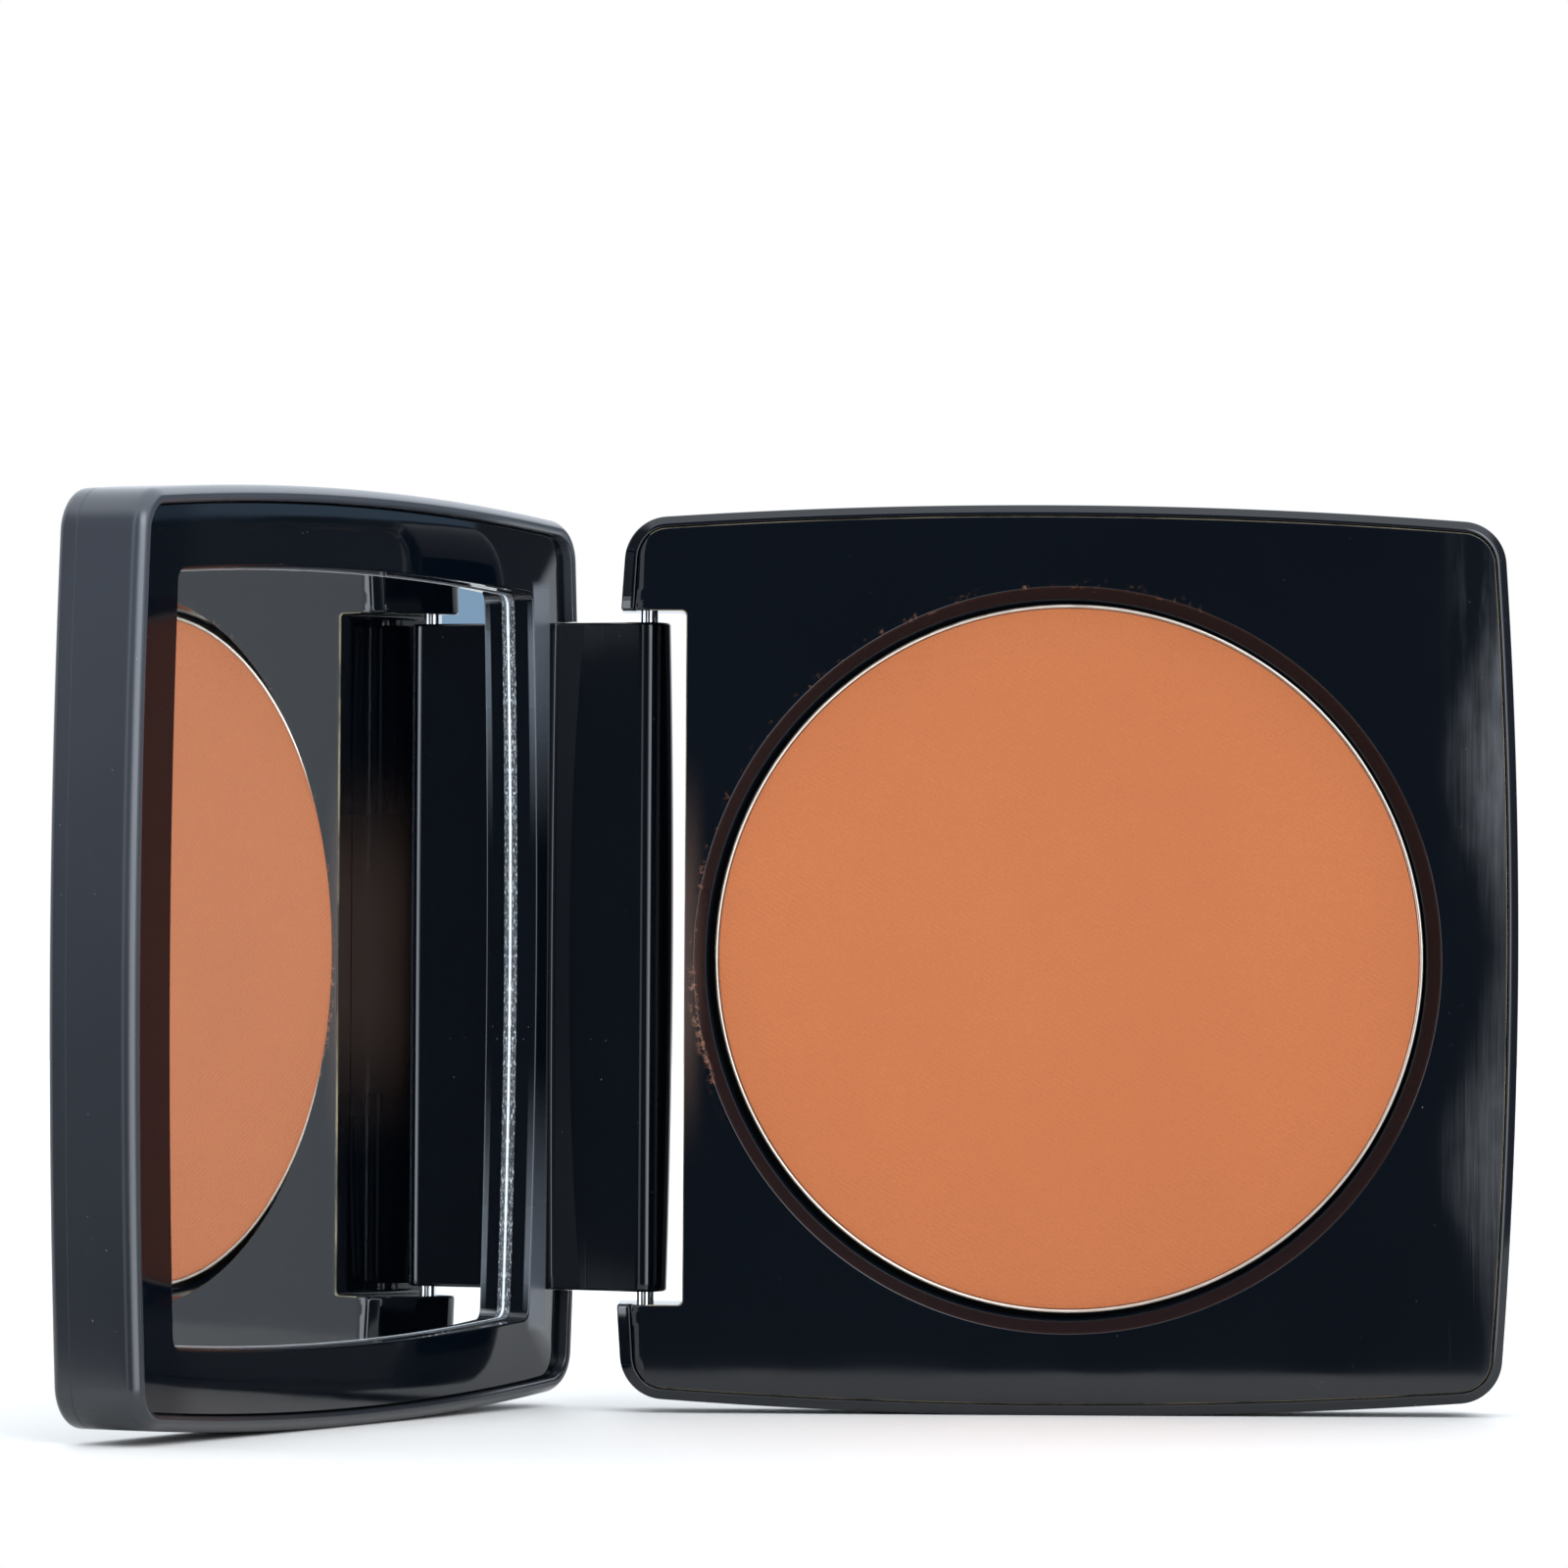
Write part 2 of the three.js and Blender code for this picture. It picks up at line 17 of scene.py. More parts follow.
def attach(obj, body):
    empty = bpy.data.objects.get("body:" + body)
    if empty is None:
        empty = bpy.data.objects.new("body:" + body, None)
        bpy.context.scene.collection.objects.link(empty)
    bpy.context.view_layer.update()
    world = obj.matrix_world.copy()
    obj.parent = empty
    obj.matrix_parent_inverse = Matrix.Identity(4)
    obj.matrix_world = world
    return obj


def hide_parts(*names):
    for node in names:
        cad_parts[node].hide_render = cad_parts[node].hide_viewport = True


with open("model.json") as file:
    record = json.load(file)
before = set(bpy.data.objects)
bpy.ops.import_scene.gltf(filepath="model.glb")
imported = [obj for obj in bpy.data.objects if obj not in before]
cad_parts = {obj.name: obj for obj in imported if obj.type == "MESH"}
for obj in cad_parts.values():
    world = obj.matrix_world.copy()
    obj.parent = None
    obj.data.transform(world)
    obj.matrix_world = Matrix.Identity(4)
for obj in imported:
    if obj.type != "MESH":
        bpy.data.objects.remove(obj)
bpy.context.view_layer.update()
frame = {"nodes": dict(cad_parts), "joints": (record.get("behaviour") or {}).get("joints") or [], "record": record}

# ---- The case ----

SIDE = 75.6  # across the middles of two opposite bowed sides
BOW = 1.5  # how far a side bulges between its corners
CORNER_RADIUS = 3.7
LEAST_CORNER = 0.3
HINGE_INSET = 3.2  # hinge axis, in from the bulge of the hinge side
MIDDLE = SIDE / 2 - HINGE_INSET

UNDERSIDE = -1.8  # all heights are measured from the hinge axis
PLATE_SEAT = 6.0  # ledge that the tray's plate sits on
PLATE_UNDER = 6.1
BASE_RIM = 7.5
LID_RIM = 7.7
FRAME_FACE = 8.5
FRAME_BACK = 9.7
FRAME_RISE = 0.6  # how far the frame's face rises to the window on the hinge side
FRAME_RISE_POWER = 8
GLASS_FACE = 9.7
SILVER = 10.3
SKIRT_END = 10.4
LID_PANEL = 12.3
LID_SEAM = 13.7
COVER_FOOT = 13.71
LID_EDGE = 15.5
CROWN = 0.5

BASE_WALL = 1.5
BASE_FLOOR = 1.2
BASE_BAND = 0.87  # width of the rim that shows round the tray
EAR_BAND = 1.25  # the same, on the hinge side
BAND_END_ROUND = 0.3
GROOVE = 0.1  # round a piece that is set into another
UNDER_ROUND = 1.5
RIM_CHAMFER = (0.65, 0.4)  # width across the rim's face, and depth down the wall
SOFTENING = 0.15  # how far a chamfer's ends are softened
LIP_SOFTENING = 0.45  # the same, on the lid
NOTCH_ROUND = 0.16
FINE_ROUND = 0.1

NOTCH_HALF = 28.8
NOTCH_EDGE = 3.1  # the notch's long edge, from the hinge axis
NOTCH_WALL = 1.1
EAR_CORNER = 0.25
NOTCH_CORNER = 0.45
RELIEF_START = 4.0  # the ears are drawn down above this height, so that the lid's rim can swing past
RELIEF_SLOPE = 14.0

WELL_X = MIDDLE + 0.35
WELL_RADIUS = 29.8
WELL_MOUTH = 31.0
WELL_SLOPE_FOOT = 5.9
WELL_FLOOR = 1.3
CUP_RADIUS = 30.6
CUP_FOOT = 0.3
CUP_FOOT_EDGE = 0.5

PAN_X = WELL_X + 0.15
PAN_Y = 0.12
PAN_RADIUS = 29.5
PAN_RIM = 6.1
PAN_FOOT = 1.6
PAN_WALL = 0.35
PAN_FOOT_EDGE = 0.7
POWDER_GAP = 0.02  # between the powder and the pan's wall
POWDER_DROP = 0.12  # from the pan's rim to the powder's edge
POWDER_CROWN = 0.12
WORN_EDGE = ((0.0, 0.1), (0.05, 0.03), (0.14, 0.0))  # (inset, depth) along the powder's edge

BOSS_X = SIDE - HINGE_INSET - 4.6
BOSS_OFFSET = 24.0
BOSS_RADIUS = 2.25
BOSS_FOOT = 4.5
MAGNET_POCKET = 1.9
POCKET_TOP = 6.6

PIN_RADIUS = 0.75
PIN_LENGTH = 10.0
PIN_CHAMFER = 0.12
PIN_END = NOTCH_HALF + 4.6

TONGUE_HALF = 28.0
TONGUE_BOTTOM = -1.56
TONGUE_OUTER_ROUND = 2.0
TONGUE_INNER_ROUND = 1.6
TONGUE_INNER_FACE = 1.9
TONGUE_LEAN = 0.45  # how much the inner face leans towards the axis at the tongue's ends
TONGUE_ROOT_ROUND = 0.45
TONGUE_END_ROUND = 0.25
TONGUE_TOP = 9.6
TONGUE_GAP = 28.1  # half the length of the gap in the lid's lip
GAP_CORNER = 0.06

LID_WALL = 1.3
LIP_CHAMFER = (0.6, 0.8)
LIP_INNER_ROUND = 0.3
LIP_TOP = FRAME_BACK + 0.2  # where the lip passes into the wall
LIP_SQUEEZE = 0.05  # how much of the lip's height is left in the gap
SEAM_ROUND = 0.03
COVER_ROUND = 0.8
WINDOW_INSET = 7.2
WINDOW_STRETCH = 1.023
WINDOW_NARROWING = 0.9845
WINDOW_FREE_SIDE = MIDDLE + SIDE / 2 - WINDOW_INSET
WINDOW_HINGE_SIDE = WINDOW_FREE_SIDE - WINDOW_NARROWING * (SIDE - 2 * WINDOW_INSET)
WINDOW_WALL = 1.2
WINDOW_CORNER = 1.0
GLASS_GAP = 0.02  # between the mirror and the window's wall
GLASS_LAND = 0.1  # from the window's wall to the ground edge
GLASS_EDGE = 0.12  # width of the ground edge that shows in front of the silver

LABEL_CENTRE = (MIDDLE, -14.0)
LABEL_HALF = (10.0, 17.0)
LABEL_CORNER = 2.0
LABEL_FACE = -1.7
LABEL_BACK = -1.5
LABEL_POCKET = -1.45
LABEL_BEVEL = 0.04

SAG_REACH = 5.4  # how far from the free edge the plate starts to bend down
SAG_SWING = 2.0  # how far this place swings to and fro along the edge
SAG_PERIOD = 33.0
SAG_PEAK = 17.0  # where along the hinge it lies furthest in
SAG_UNEVEN = 1.6
SAG_STREAKS = 0.3
SAG_BEND = 0.005  # how deep the plate lies a millimetre past this place

FULL_SHEEN = 0.5  # how strongly a plain face reflects
# DULL_SHEEN is the lower level, used where a reflection is turned down as painted shade
DULL_SHEEN = 0.22
DUST_WIDTH = 0.9  # of the powder traces round the well
SPILL_Y = -6.0  # where they are thickest, along the hinge
LAND_SHEEN_START = 2.2  # the painted sheen on the mirror frame, from the hinge axis
LAND_SHEEN_END = 5.9
CLOTH = ((-68, 0.33), (-14, 0.39))  # direction in degrees, and pitch, of the pressing cloth's threads
EDGE_GLINT_DEPTH = 0.22  # how far the painted glint reaches down the plate's edge
SMEAR_WIDTH = 7.0

SIDE_STEPS = 48
EAR_STEPS = 8
CORNER_STEPS = 14
ROUND_STEPS = 240
SMALL_STEPS = 48
EDGE_STEPS = 6
ROLL_STEPS = 8
TONGUE_STEPS = 40
TONGUE_OUTER_STEPS = 12
TONGUE_INNER_STEPS = 16

# ---- Outlines, as lists of (x, y) ----


def arc(centre, radius, start, end, steps):
    """Points along an arc, both ends included. Angles are in radians."""
    angles = [start + (end - start) * i / steps for i in range(steps + 1)]
    return [(centre[0] + radius * cos(a), centre[1] + radius * sin(a)) for a in angles]


def circle(radius, x, y=0.0, steps=ROUND_STEPS):
    return arc((x, y), radius, 0, 2 * pi, steps)[:-1]


def bowed_side(inset, least=LEAST_CORNER):
    """The arc of a side, and of the corner after it, in a frame with the compact's middle at the origin."""
    half = SIDE / 2
    radius = (half * half + BOW * BOW) / (2 * BOW) - inset
    centre = half - inset - radius
    corner = max(CORNER_RADIUS - inset, least)
    reach = radius - corner
    corner_centre = (centre + sqrt(2 * reach * reach - centre * centre)) / 2
    bend = atan2(corner_centre, corner_centre - centre)
    return radius, centre, corner, corner_centre, bend


def turned_quarter(points, side):
    """Points of the side that faces +X, turned to the side with this number and moved into place."""
    c, s = cos(side * pi / 2), sin(side * pi / 2)
    return [(MIDDLE + x * c - y * s, x * s + y * c) for x, y in points]


def marked_arc(centre, radius, bend, marks):
    """A side's arc with a point at each of these distances along it, on both sides of its middle."""
    angles = [-bend + 2 * bend * i / SIDE_STEPS for i in range(SIDE_STEPS + 1)]
    for mark in marks:
        angles += [asin(mark / radius), -asin(mark / radius)]
    return [(centre + radius * cos(a), radius * sin(a)) for a in sorted(angles)]


def notched_side(radius, centre, bend, cut):
    """The hinge side of the base, with the notch made larger by cut on all its sides."""
    limit = NOTCH_HALF + cut
    edge = MIDDLE - NOTCH_EDGE - cut
    start = asin((limit + EAR_CORNER) / radius)
    ear = centre + radius * cos(start)
    first = arc((centre, 0), radius, -bend, -start, EAR_STEPS)
    first += arc((ear - EAR_CORNER, -limit - EAR_CORNER), EAR_CORNER, 0, pi / 2, EDGE_STEPS)[1:]
    inner = (edge + NOTCH_CORNER, NOTCH_CORNER - limit)
    first += arc(inner, NOTCH_CORNER, 1.5 * pi, pi, EDGE_STEPS)
    second = [(x, -y) for x, y in reversed(first)]
    return first + second


def outline(inset, ear=0.0, cut=None, marks=(), least=LEAST_CORNER):
    """The compact's outline, moved in by inset, and by ear more on the hinge side.

    cut is how much larger than its drawn size the hinge notch is; without it there is no notch.
    """
    radius, centre, corner, corner_centre, bend = bowed_side(inset, least)
    points = []
    for side in range(4):
        straight = arc((centre, 0), radius, -bend, bend, SIDE_STEPS)
        if side == 2 and cut is not None:
            straight = notched_side(radius, centre, bend, cut)
        elif side == 2:
            straight = marked_arc(centre, radius, bend, marks)
        rounded = arc((corner_centre, corner_centre), corner, bend, pi / 2 - bend, CORNER_STEPS)[1:-1]
        points += turned_quarter(straight + rounded, side)
    if ear:
        reach = CORNER_RADIUS - HINGE_INSET
        points = [(x + ear * min(1, max(0, (reach - x) / CORNER_RADIUS)), y) for x, y in points]
    return points


def window(inset):
    """The mirror's window: a little longer along the hinge, and narrower on the hinge side."""
    points = outline(WINDOW_INSET + inset, least=WINDOW_CORNER)
    free = WINDOW_FREE_SIDE
    return [(free + (x - free) * WINDOW_NARROWING, y * WINDOW_STRETCH) for x, y in points]


def label(margin):
    corners = [(1, 1), (-1, 1), (-1, -1), (1, -1)]
    points = []
    for i, (x, y) in enumerate(corners):
        middle = (
            LABEL_CENTRE[0] + x * (LABEL_HALF[0] + margin - LABEL_CORNER),
            LABEL_CENTRE[1] + y * (LABEL_HALF[1] + margin - LABEL_CORNER),
        )
        points += arc(middle, LABEL_CORNER, i * pi / 2, (i + 1) * pi / 2, EDGE_STEPS)
    return points


def hinge_side(y):
    """X of the hinge side's outer face at a place along the hinge."""
    radius, centre, *_ = bowed_side(0)
    return MIDDLE - centre - sqrt(radius * radius - y * y)


def quarter_turn(radius):
    """(inset, depth) along a rounded edge, from the face that it starts in to the wall."""
    angles = [i / EDGE_STEPS * pi / 2 for i in range(EDGE_STEPS + 1)]
    return [(radius * (1 - sin(a)), radius * (1 - cos(a))) for a in angles]


def curve(start, bend, end):
    """Points along a curve that leaves start towards bend and comes to end from it."""
    shares = [i / EDGE_STEPS for i in range(EDGE_STEPS + 1)]
    return [start * (1 - t) ** 2 + bend * (2 * t * (1 - t)) + end * t * t for t in shares]


def softened_chamfer(wall_end, face_start, softening):
    """(inset, height) points from a wall over a chamfer to a level face."""
    away = Vector((0, softening if wall_end.y > face_start.y else -softening))
    points = curve(wall_end + away, wall_end, wall_end.lerp(face_start, softening))
    inwards = Vector((SOFTENING, 0))
    return points + curve(face_start.lerp(wall_end, softening), face_start, face_start + inwards)


# ---- Closed surfaces ----


class Surface:
    """A closed surface put together from rings of points with the same number of points."""

    def __init__(self):
        self.mesh = bmesh.new()

    def ring(self, points, height=None):
        if height is not None:
            points = [(x, y, height) for x, y in points]
        return [self.mesh.verts.new(p) for p in points]

    def bridge(self, first, second):
        count = len(first)
        for i in range(count):
            j = (i + 1) % count
            self.mesh.faces.new((first[i], first[j], second[j], second[i]))

    def stack(self, rings):
        """Joins rings one after another, and gives the first and the last."""
        for first, second in zip(rings, rings[1:]):
            self.bridge(first, second)
        return rings[0], rings[-1]

    def fill(self, *loops):
        """A flat face inside the first loop and outside the others."""
        corners = [vertex for loop in loops for vertex in loop]
        for triangle in tessellate_polygon([[v.co for v in loop] for loop in loops]):
            if len(set(triangle)) == 3:
                self.mesh.faces.new([corners[i] for i in triangle])

    def closed(self, rings):
        """A solid through these rings, with a flat face at each end."""
        first, last = self.stack(rings)
        self.fill(first)
        self.fill(last)

    def piece(self, name, body, materials, replaced, material_of=None):
        """Makes the Blender piece that stands for a CAD node."""
        bmesh.ops.remove_doubles(self.mesh, verts=self.mesh.verts, dist=1e-5)
        bmesh.ops.recalc_face_normals(self.mesh, faces=self.mesh.faces)
        for face in self.mesh.faces:
            face.smooth = True
            if material_of:
                face.material_index = material_of(face)
        for edge in self.mesh.edges:
            edge.smooth = len(edge.link_faces) == 2 and edge.calc_face_angle(0) < SHARP_ANGLE
        data = bpy.data.meshes.new(name)
        self.mesh.to_mesh(data)
        self.mesh.free()
        data.transform(PLACES[body])
        for material in materials:
            data.materials.append(material)
        made = bpy.data.objects.new(name, data)
        bpy.context.scene.collection.objects.link(made)
        shading = made.modifiers.new("even_shading", "WEIGHTED_NORMAL")
        shading.weight = 100
        shading.keep_sharp = True
        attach(made, body)
        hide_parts(replaced)
        return made


SHARP_ANGLE = radians(35)

joint = frame["joints"][0]
pin = Vector(joint["pos_m"])
open_angle = -radians(joint["range_deg"][0])
upright = Matrix.Translation(pin) @ Matrix.Rotation(pi / 2, 4, "X")
PLACES = {
    "base": upright @ Matrix.Scale(0.001, 4),
    "lid": upright @ Matrix.Rotation(-open_angle, 4, "Y") @ Matrix.Scale(0.001, 4),
}

# ---- Materials ----


class Finish:
    """A procedural material. Its nodes work in millimetres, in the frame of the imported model."""

    def __init__(self, name, **values):
        self.material = bpy.data.materials.new(name)
        self.material.use_nodes = True
        self.tree = self.material.node_tree
        self.shader = self.tree.nodes["Principled BSDF"]
        for key, value in values.items():
            self.shader.inputs[key.replace("_", " ")].default_value = value
        place = self.node("ShaderNodeTexCoord").outputs["Object"]
        self.place = self.vector("SCALE", place, Scale=1000.0)

    def node(self, kind, **settings):
        made = self.tree.nodes.new(kind)
        for key, value in settings.items():
            setattr(made, key, value)
        return made

    def put(self, socket, value):
        if isinstance(value, bpy.types.NodeSocket):
            self.tree.links.new(value, socket)
        else:
            socket.default_value = value

    def set(self, name, value):
        """Feeds one of the shader's sockets."""
        self.put(self.shader.inputs[name], value)

    def vector(self, operation, first, second=None, **named):
        made = self.node("ShaderNodeVectorMath", operation=operation)
        self.put(made.inputs[0], first)
        if second is not None:
            self.put(made.inputs[1], second)
        for key, value in named.items():
            self.put(made.inputs[key], value)
        return made.outputs["Value" if operation in ("LENGTH", "DOT_PRODUCT", "DISTANCE") else "Vector"]

    def math(self, operation, first, second=0.0, clamp=False):
        made = self.node("ShaderNodeMath", operation=operation, use_clamp=clamp)
        self.put(made.inputs[0], first)
        self.put(made.inputs[1], second)
        return made.outputs[0]

    def product(self, *factors):
        """All the factors multiplied."""
        result = factors[0]
        for factor in factors[1:]:
            result = self.math("MULTIPLY", result, factor)
        return result

    def total(self, *terms):
        """All the terms added."""
        result = terms[0]
        for term in terms[1:]:
            result = self.math("ADD", result, term)
        return result

    def from_hinge(self, body="base"):
        """X, Y and Z in the frame that this half of the compact is drawn in."""
        offset = self.vector("SUBTRACT", self.place, pin * 1000)
        turn = PLACES[body].to_3x3().normalized()
        return [self.vector("DOT_PRODUCT", offset, turn.col[i]) for i in range(3)]

    def noise(self, scale, detail=2.0, stretch=None, roughness=0.5):
        """Noise from 0 to 1 with this many bumps to the millimetre."""
        made = self.node("ShaderNodeTexNoise")
        place = self.place if stretch is None else self.vector("MULTIPLY", self.place, stretch)
        self.put(made.inputs["Vector"], place)
        self.put(made.inputs["Scale"], scale)
        self.put(made.inputs["Detail"], detail)
        self.put(made.inputs["Roughness"], roughness)
        return made.outputs["Fac"]

    def span(self, value, low, high, to_low=0.0, to_high=1.0):
        """Maps low..high smoothly to to_low..to_high, and stops there."""
        made = self.node("ShaderNodeMapRange", interpolation_type="SMOOTHSTEP")
        for name, number in zip(("Value", "From Min", "From Max", "To Min", "To Max"),
                                (value, low, high, to_low, to_high)):
            self.put(made.inputs[name], number)
        return made.outputs["Result"]

    def mix(self, share, first, second):
        """A colour between two colours."""
        made = self.node("ShaderNodeMix", data_type="RGBA")
        self.put(made.inputs["Factor"], share)
        self.put(made.inputs["A"], first)
        self.put(made.inputs["B"], second)
        return made.outputs["Result"]

    def bump(self, height, depth, under=None):
        """Bumps as deep as depth, in millimetres, where height goes from 0 to 1."""
        made = self.node("ShaderNodeBump")
        self.put(made.inputs["Height"], height)
        self.put(made.inputs["Distance"], depth / 1000)
        if under is not None:
            self.put(made.inputs["Normal"], under)
        return made.outputs["Normal"]

    def wave(self, direction, period):
        """A wave from -1 to 1 that runs in this direction."""
        along = self.vector("DOT_PRODUCT", self.place, Vector(direction).normalized())
        return self.math("SINE", self.product(along, 2 * pi / period))


def rgb(red, green, blue):
    return (red, green, blue, 1.0)


def add_dust(finish, base, amount=0.90):
    """Fine specks of pale dust on a base colour. Fewer specks show where amount is higher."""
    specks = finish.span(finish.noise(4.6, 0.0), amount, amount + 0.03)
    return finish.mix(specks, base, rgb(0.16, 0.16, 0.17)), specks


def gloss_black(name, *marks, sheen=None, sagging=False):
    """Polished black moulding with slight sink waves, hairline scratches, specks of dust and other marks, some of
    them painted light.
    """
    finish = Finish(name, Roughness=0.05, IOR=1.5)
    cloud = finish.noise(0.06, 3.0)
    tint = finish.mix(cloud, rgb(0.0009, 0.0021, 0.0044), rgb(0.0015, 0.0032, 0.0058))
    colour, specks = add_dust(finish, tint)
    rough = finish.total(finish.span(cloud, 0.3, 0.7, 0.035, 0.065), finish.product(specks, 0.5))
    for mark in marks:
        share, mark_colour, roughening = mark(finish)
        colour = finish.mix(share, colour, mark_colour)
        rough = finish.total(rough, finish.product(share, roughening))
    finish.set("Base Color", colour)
    finish.set("Roughness", rough)
    if sheen:
        finish.set("Specular IOR Level", sheen(finish))
    waves = finish.bump(finish.noise(0.12, 1.0), 0.012)
    if sagging:
        waves = free_edge_sag(finish, waves)
    scratches = finish.noise(1.6, 2.0, stretch=(1.0, 1.0, 0.03))
    finish.set("Normal", finish.bump(finish.span(scratches, 0.66, 0.72), 0.0006, waves))
    return finish.material


def from_well(finish):
    """X and Y from the well's centre, and the distance to it."""
    across, along, _ = finish.from_hinge()
    off_centre = finish.math("SUBTRACT", across, WELL_X)
    squares = finish.total(finish.product(off_centre, off_centre), finish.product(along, along))
    return off_centre, along, finish.math("SQRT", squares)


def well_sheen(finish):
    """Painted shade: the well's slope is given less reflection than the plate round it, which darkens it."""
    # painted shade: the reflection is turned down on the well's slope
    return finish.span(from_well(finish)[2], WELL_MOUTH - 0.15, WELL_MOUTH, DULL_SHEEN, FULL_SHEEN)


def frame_sheen(finish):
    """Painted shade: the mirror frame is given less reflection on its free side, which darkens it."""
    across = finish.from_hinge("lid")[0]
    # painted shade: the reflection is turned down towards the free side
    return finish.span(across, WINDOW_FREE_SIDE - 6.0, WINDOW_FREE_SIDE, FULL_SHEEN, DULL_SHEEN)


def free_edge_sag(finish, under):
    """The plate's face bends down unevenly towards its free edge, with faint streaks along it."""
    across, along, _ = finish.from_hinge()
    swing = finish.product(finish.math("SUBTRACT", along, SAG_PEAK), 2 * pi / SAG_PERIOD)
    waver = finish.product(finish.math("COSINE", swing), SAG_SWING)
    uneven = finish.product(finish.noise(0.16, 2.0), SAG_UNEVEN)
    streaks = finish.product(finish.noise(1.1, 3.0, stretch=(1.0, 1.0, 0.06)), SAG_STREAKS)
    start = SIDE - HINGE_INSET - SAG_REACH + (SAG_UNEVEN + SAG_STREAKS) / 2
    past = finish.math("SUBTRACT", finish.total(across, waver, uneven, streaks), start)
    past = finish.math("MAXIMUM", past, 0.0)
    return finish.bump(finish.product(past, past), -SAG_BEND, under)


# Each of these marks gives its share, its colour and how much rougher it is. Most are powder and smears; the sheen
# beside the tongue and the glint on the plate's edge are painted light.


def notch_dust(finish):
    """Powder dust round the notch's long edge, thickest in the middle."""
    across, along, height = finish.from_hinge()
    near_notch = finish.span(across, NOTCH_EDGE, NOTCH_EDGE + 2.0, 1.0, 0.0)
    near_middle = finish.span(finish.math("ABSOLUTE", along), 3.0, 18.0, 0.5, 0.0)
    above_underside = finish.span(height, UNDERSIDE + 0.5, UNDERSIDE + 3.0)
    return finish.product(near_notch, near_middle, above_underside), rgb(0.10, 0.060, 0.045), 0.3


def well_dust(finish):
    """Traces of powder round the mouth of the well, on the hinge side and the upper side."""
    off_centre, along, radius = from_well(finish)
    outside = finish.span(radius, WELL_MOUTH - 0.2, WELL_MOUTH)
    near_mouth = finish.span(radius, WELL_MOUTH, WELL_MOUTH + DUST_WIDTH, 1.0, 0.0)
    from_spill = finish.math("ABSOLUTE", finish.math("SUBTRACT", along, SPILL_Y))
    spill = finish.span(from_spill, 2.0, 7.0, 1.0, 0.0)
    grains = finish.total(finish.noise(1.1, 4.0, roughness=0.7), finish.product(spill, 0.1))
    patches = finish.span(grains, 0.56, 0.70)
    hinge_side_only = finish.span(finish.math("SUBTRACT", off_centre, along), -8.0, -30.0)
    strength = finish.span(spill, 0.0, 1.0, 0.4, 0.9)
    share = finish.product(outside, near_mouth, patches, hinge_side_only, strength)
    return share, rgb(0.28, 0.12, 0.062), 0.5


def painted_land_sheen(finish):
    """A painted reflection: a pale sheen on the frame's face beside the tongue, near its ends."""
    across, along, height = finish.from_hinge("lid")
    from_middle = finish.math("ABSOLUTE", along)
    past_tongue = finish.span(across, LAND_SHEEN_START, LAND_SHEEN_START + 0.3)
    on_face = finish.span(height, FRAME_FACE - 0.05, FRAME_FACE + 0.1, 1.0, 0.0)
    on_hinge_side = finish.span(across, LAND_SHEEN_END - 0.3, LAND_SHEEN_END, 1.0, 0.0)
    off_corners = finish.span(from_middle, 30.4, 31.6, 1.0, 0.0)
    near_ends = finish.span(from_middle, 8.0, TONGUE_HALF - 1.0)
    share = finish.product(past_tongue, on_face, on_hinge_side, off_corners, near_ends)
    # painted reflection: the pale grey stands for light that the frame's face reflects near the tongue's ends
    return share, rgb(0.085, 0.096, 0.112), 0.3


def painted_edge_glint(finish):
    """A painted highlight: a pale, slightly yellow glint line along the plate's rounded outer edge."""
    across, _, height = finish.from_hinge()
    off_well = finish.span(from_well(finish)[2], WELL_MOUTH + 1.0, WELL_MOUTH + 1.5)
    off_ears = finish.span(across, 0.0, 0.1)
    below_face = finish.span(height, BASE_RIM - 0.05, BASE_RIM - 0.02, 1.0, 0.0)
    above_wall = finish.span(height, BASE_RIM - EDGE_GLINT_DEPTH, BASE_RIM - EDGE_GLINT_DEPTH + 0.06)
    patches = finish.span(finish.noise(0.15, 3.0), 0.35, 0.60, 0.25, 1.0)
    share = finish.product(off_well, off_ears, below_face, above_wall, patches)
    # painted highlight: the pale yellow line stands for the glint along the plate's edge
    return share, rgb(0.42, 0.34, 0.20), 0.5


def finger_smear(finish):
    """Pale streaks where the free edge has been wiped."""
    across, along, _ = finish.from_hinge()
    smear_start = SIDE - HINGE_INSET - SMEAR_WIDTH
    near_edge = finish.span(across, smear_start, smear_start + 4.0)
    upper_half = finish.span(along, 4.0, 16.0)
    streaks = finish.span(finish.noise(0.5, 4.0, stretch=(1.0, 1.0, 0.13), roughness=0.65), 0.44, 0.66)
    return finish.product(streaks, near_edge, upper_half, 0.08), rgb(0.20, 0.22, 0.25), 0.9


def satin_black(name):
    """Black moulding with a fine satin grain, a little paler towards its upper end: painted light from above."""
    finish = Finish(name, IOR=1.5)
    cloud = finish.noise(0.08, 3.0)
    # painted light: the colour grows lighter towards the lid's upper end, where more light falls from above
    painted_light_from_above = finish.span(finish.from_hinge("lid")[1], -36.0, 34.0, 0.0, 0.8)
    paler = finish.total(painted_light_from_above, finish.product(cloud, 0.2))
    tint = finish.mix(paler, rgb(0.014, 0.016, 0.020), rgb(0.046, 0.051, 0.061))
    colour, _ = add_dust(finish, tint, 0.88)
    finish.set("Base Color", colour)
    finish.set("Roughness", finish.span(cloud, 0.3, 0.7, 0.17, 0.21))
    grain = finish.bump(finish.noise(9.0, 2.0), 0.004)
    finish.set("Normal", finish.bump(finish.noise(0.15, 1.0), 0.01, grain))
    return finish.material


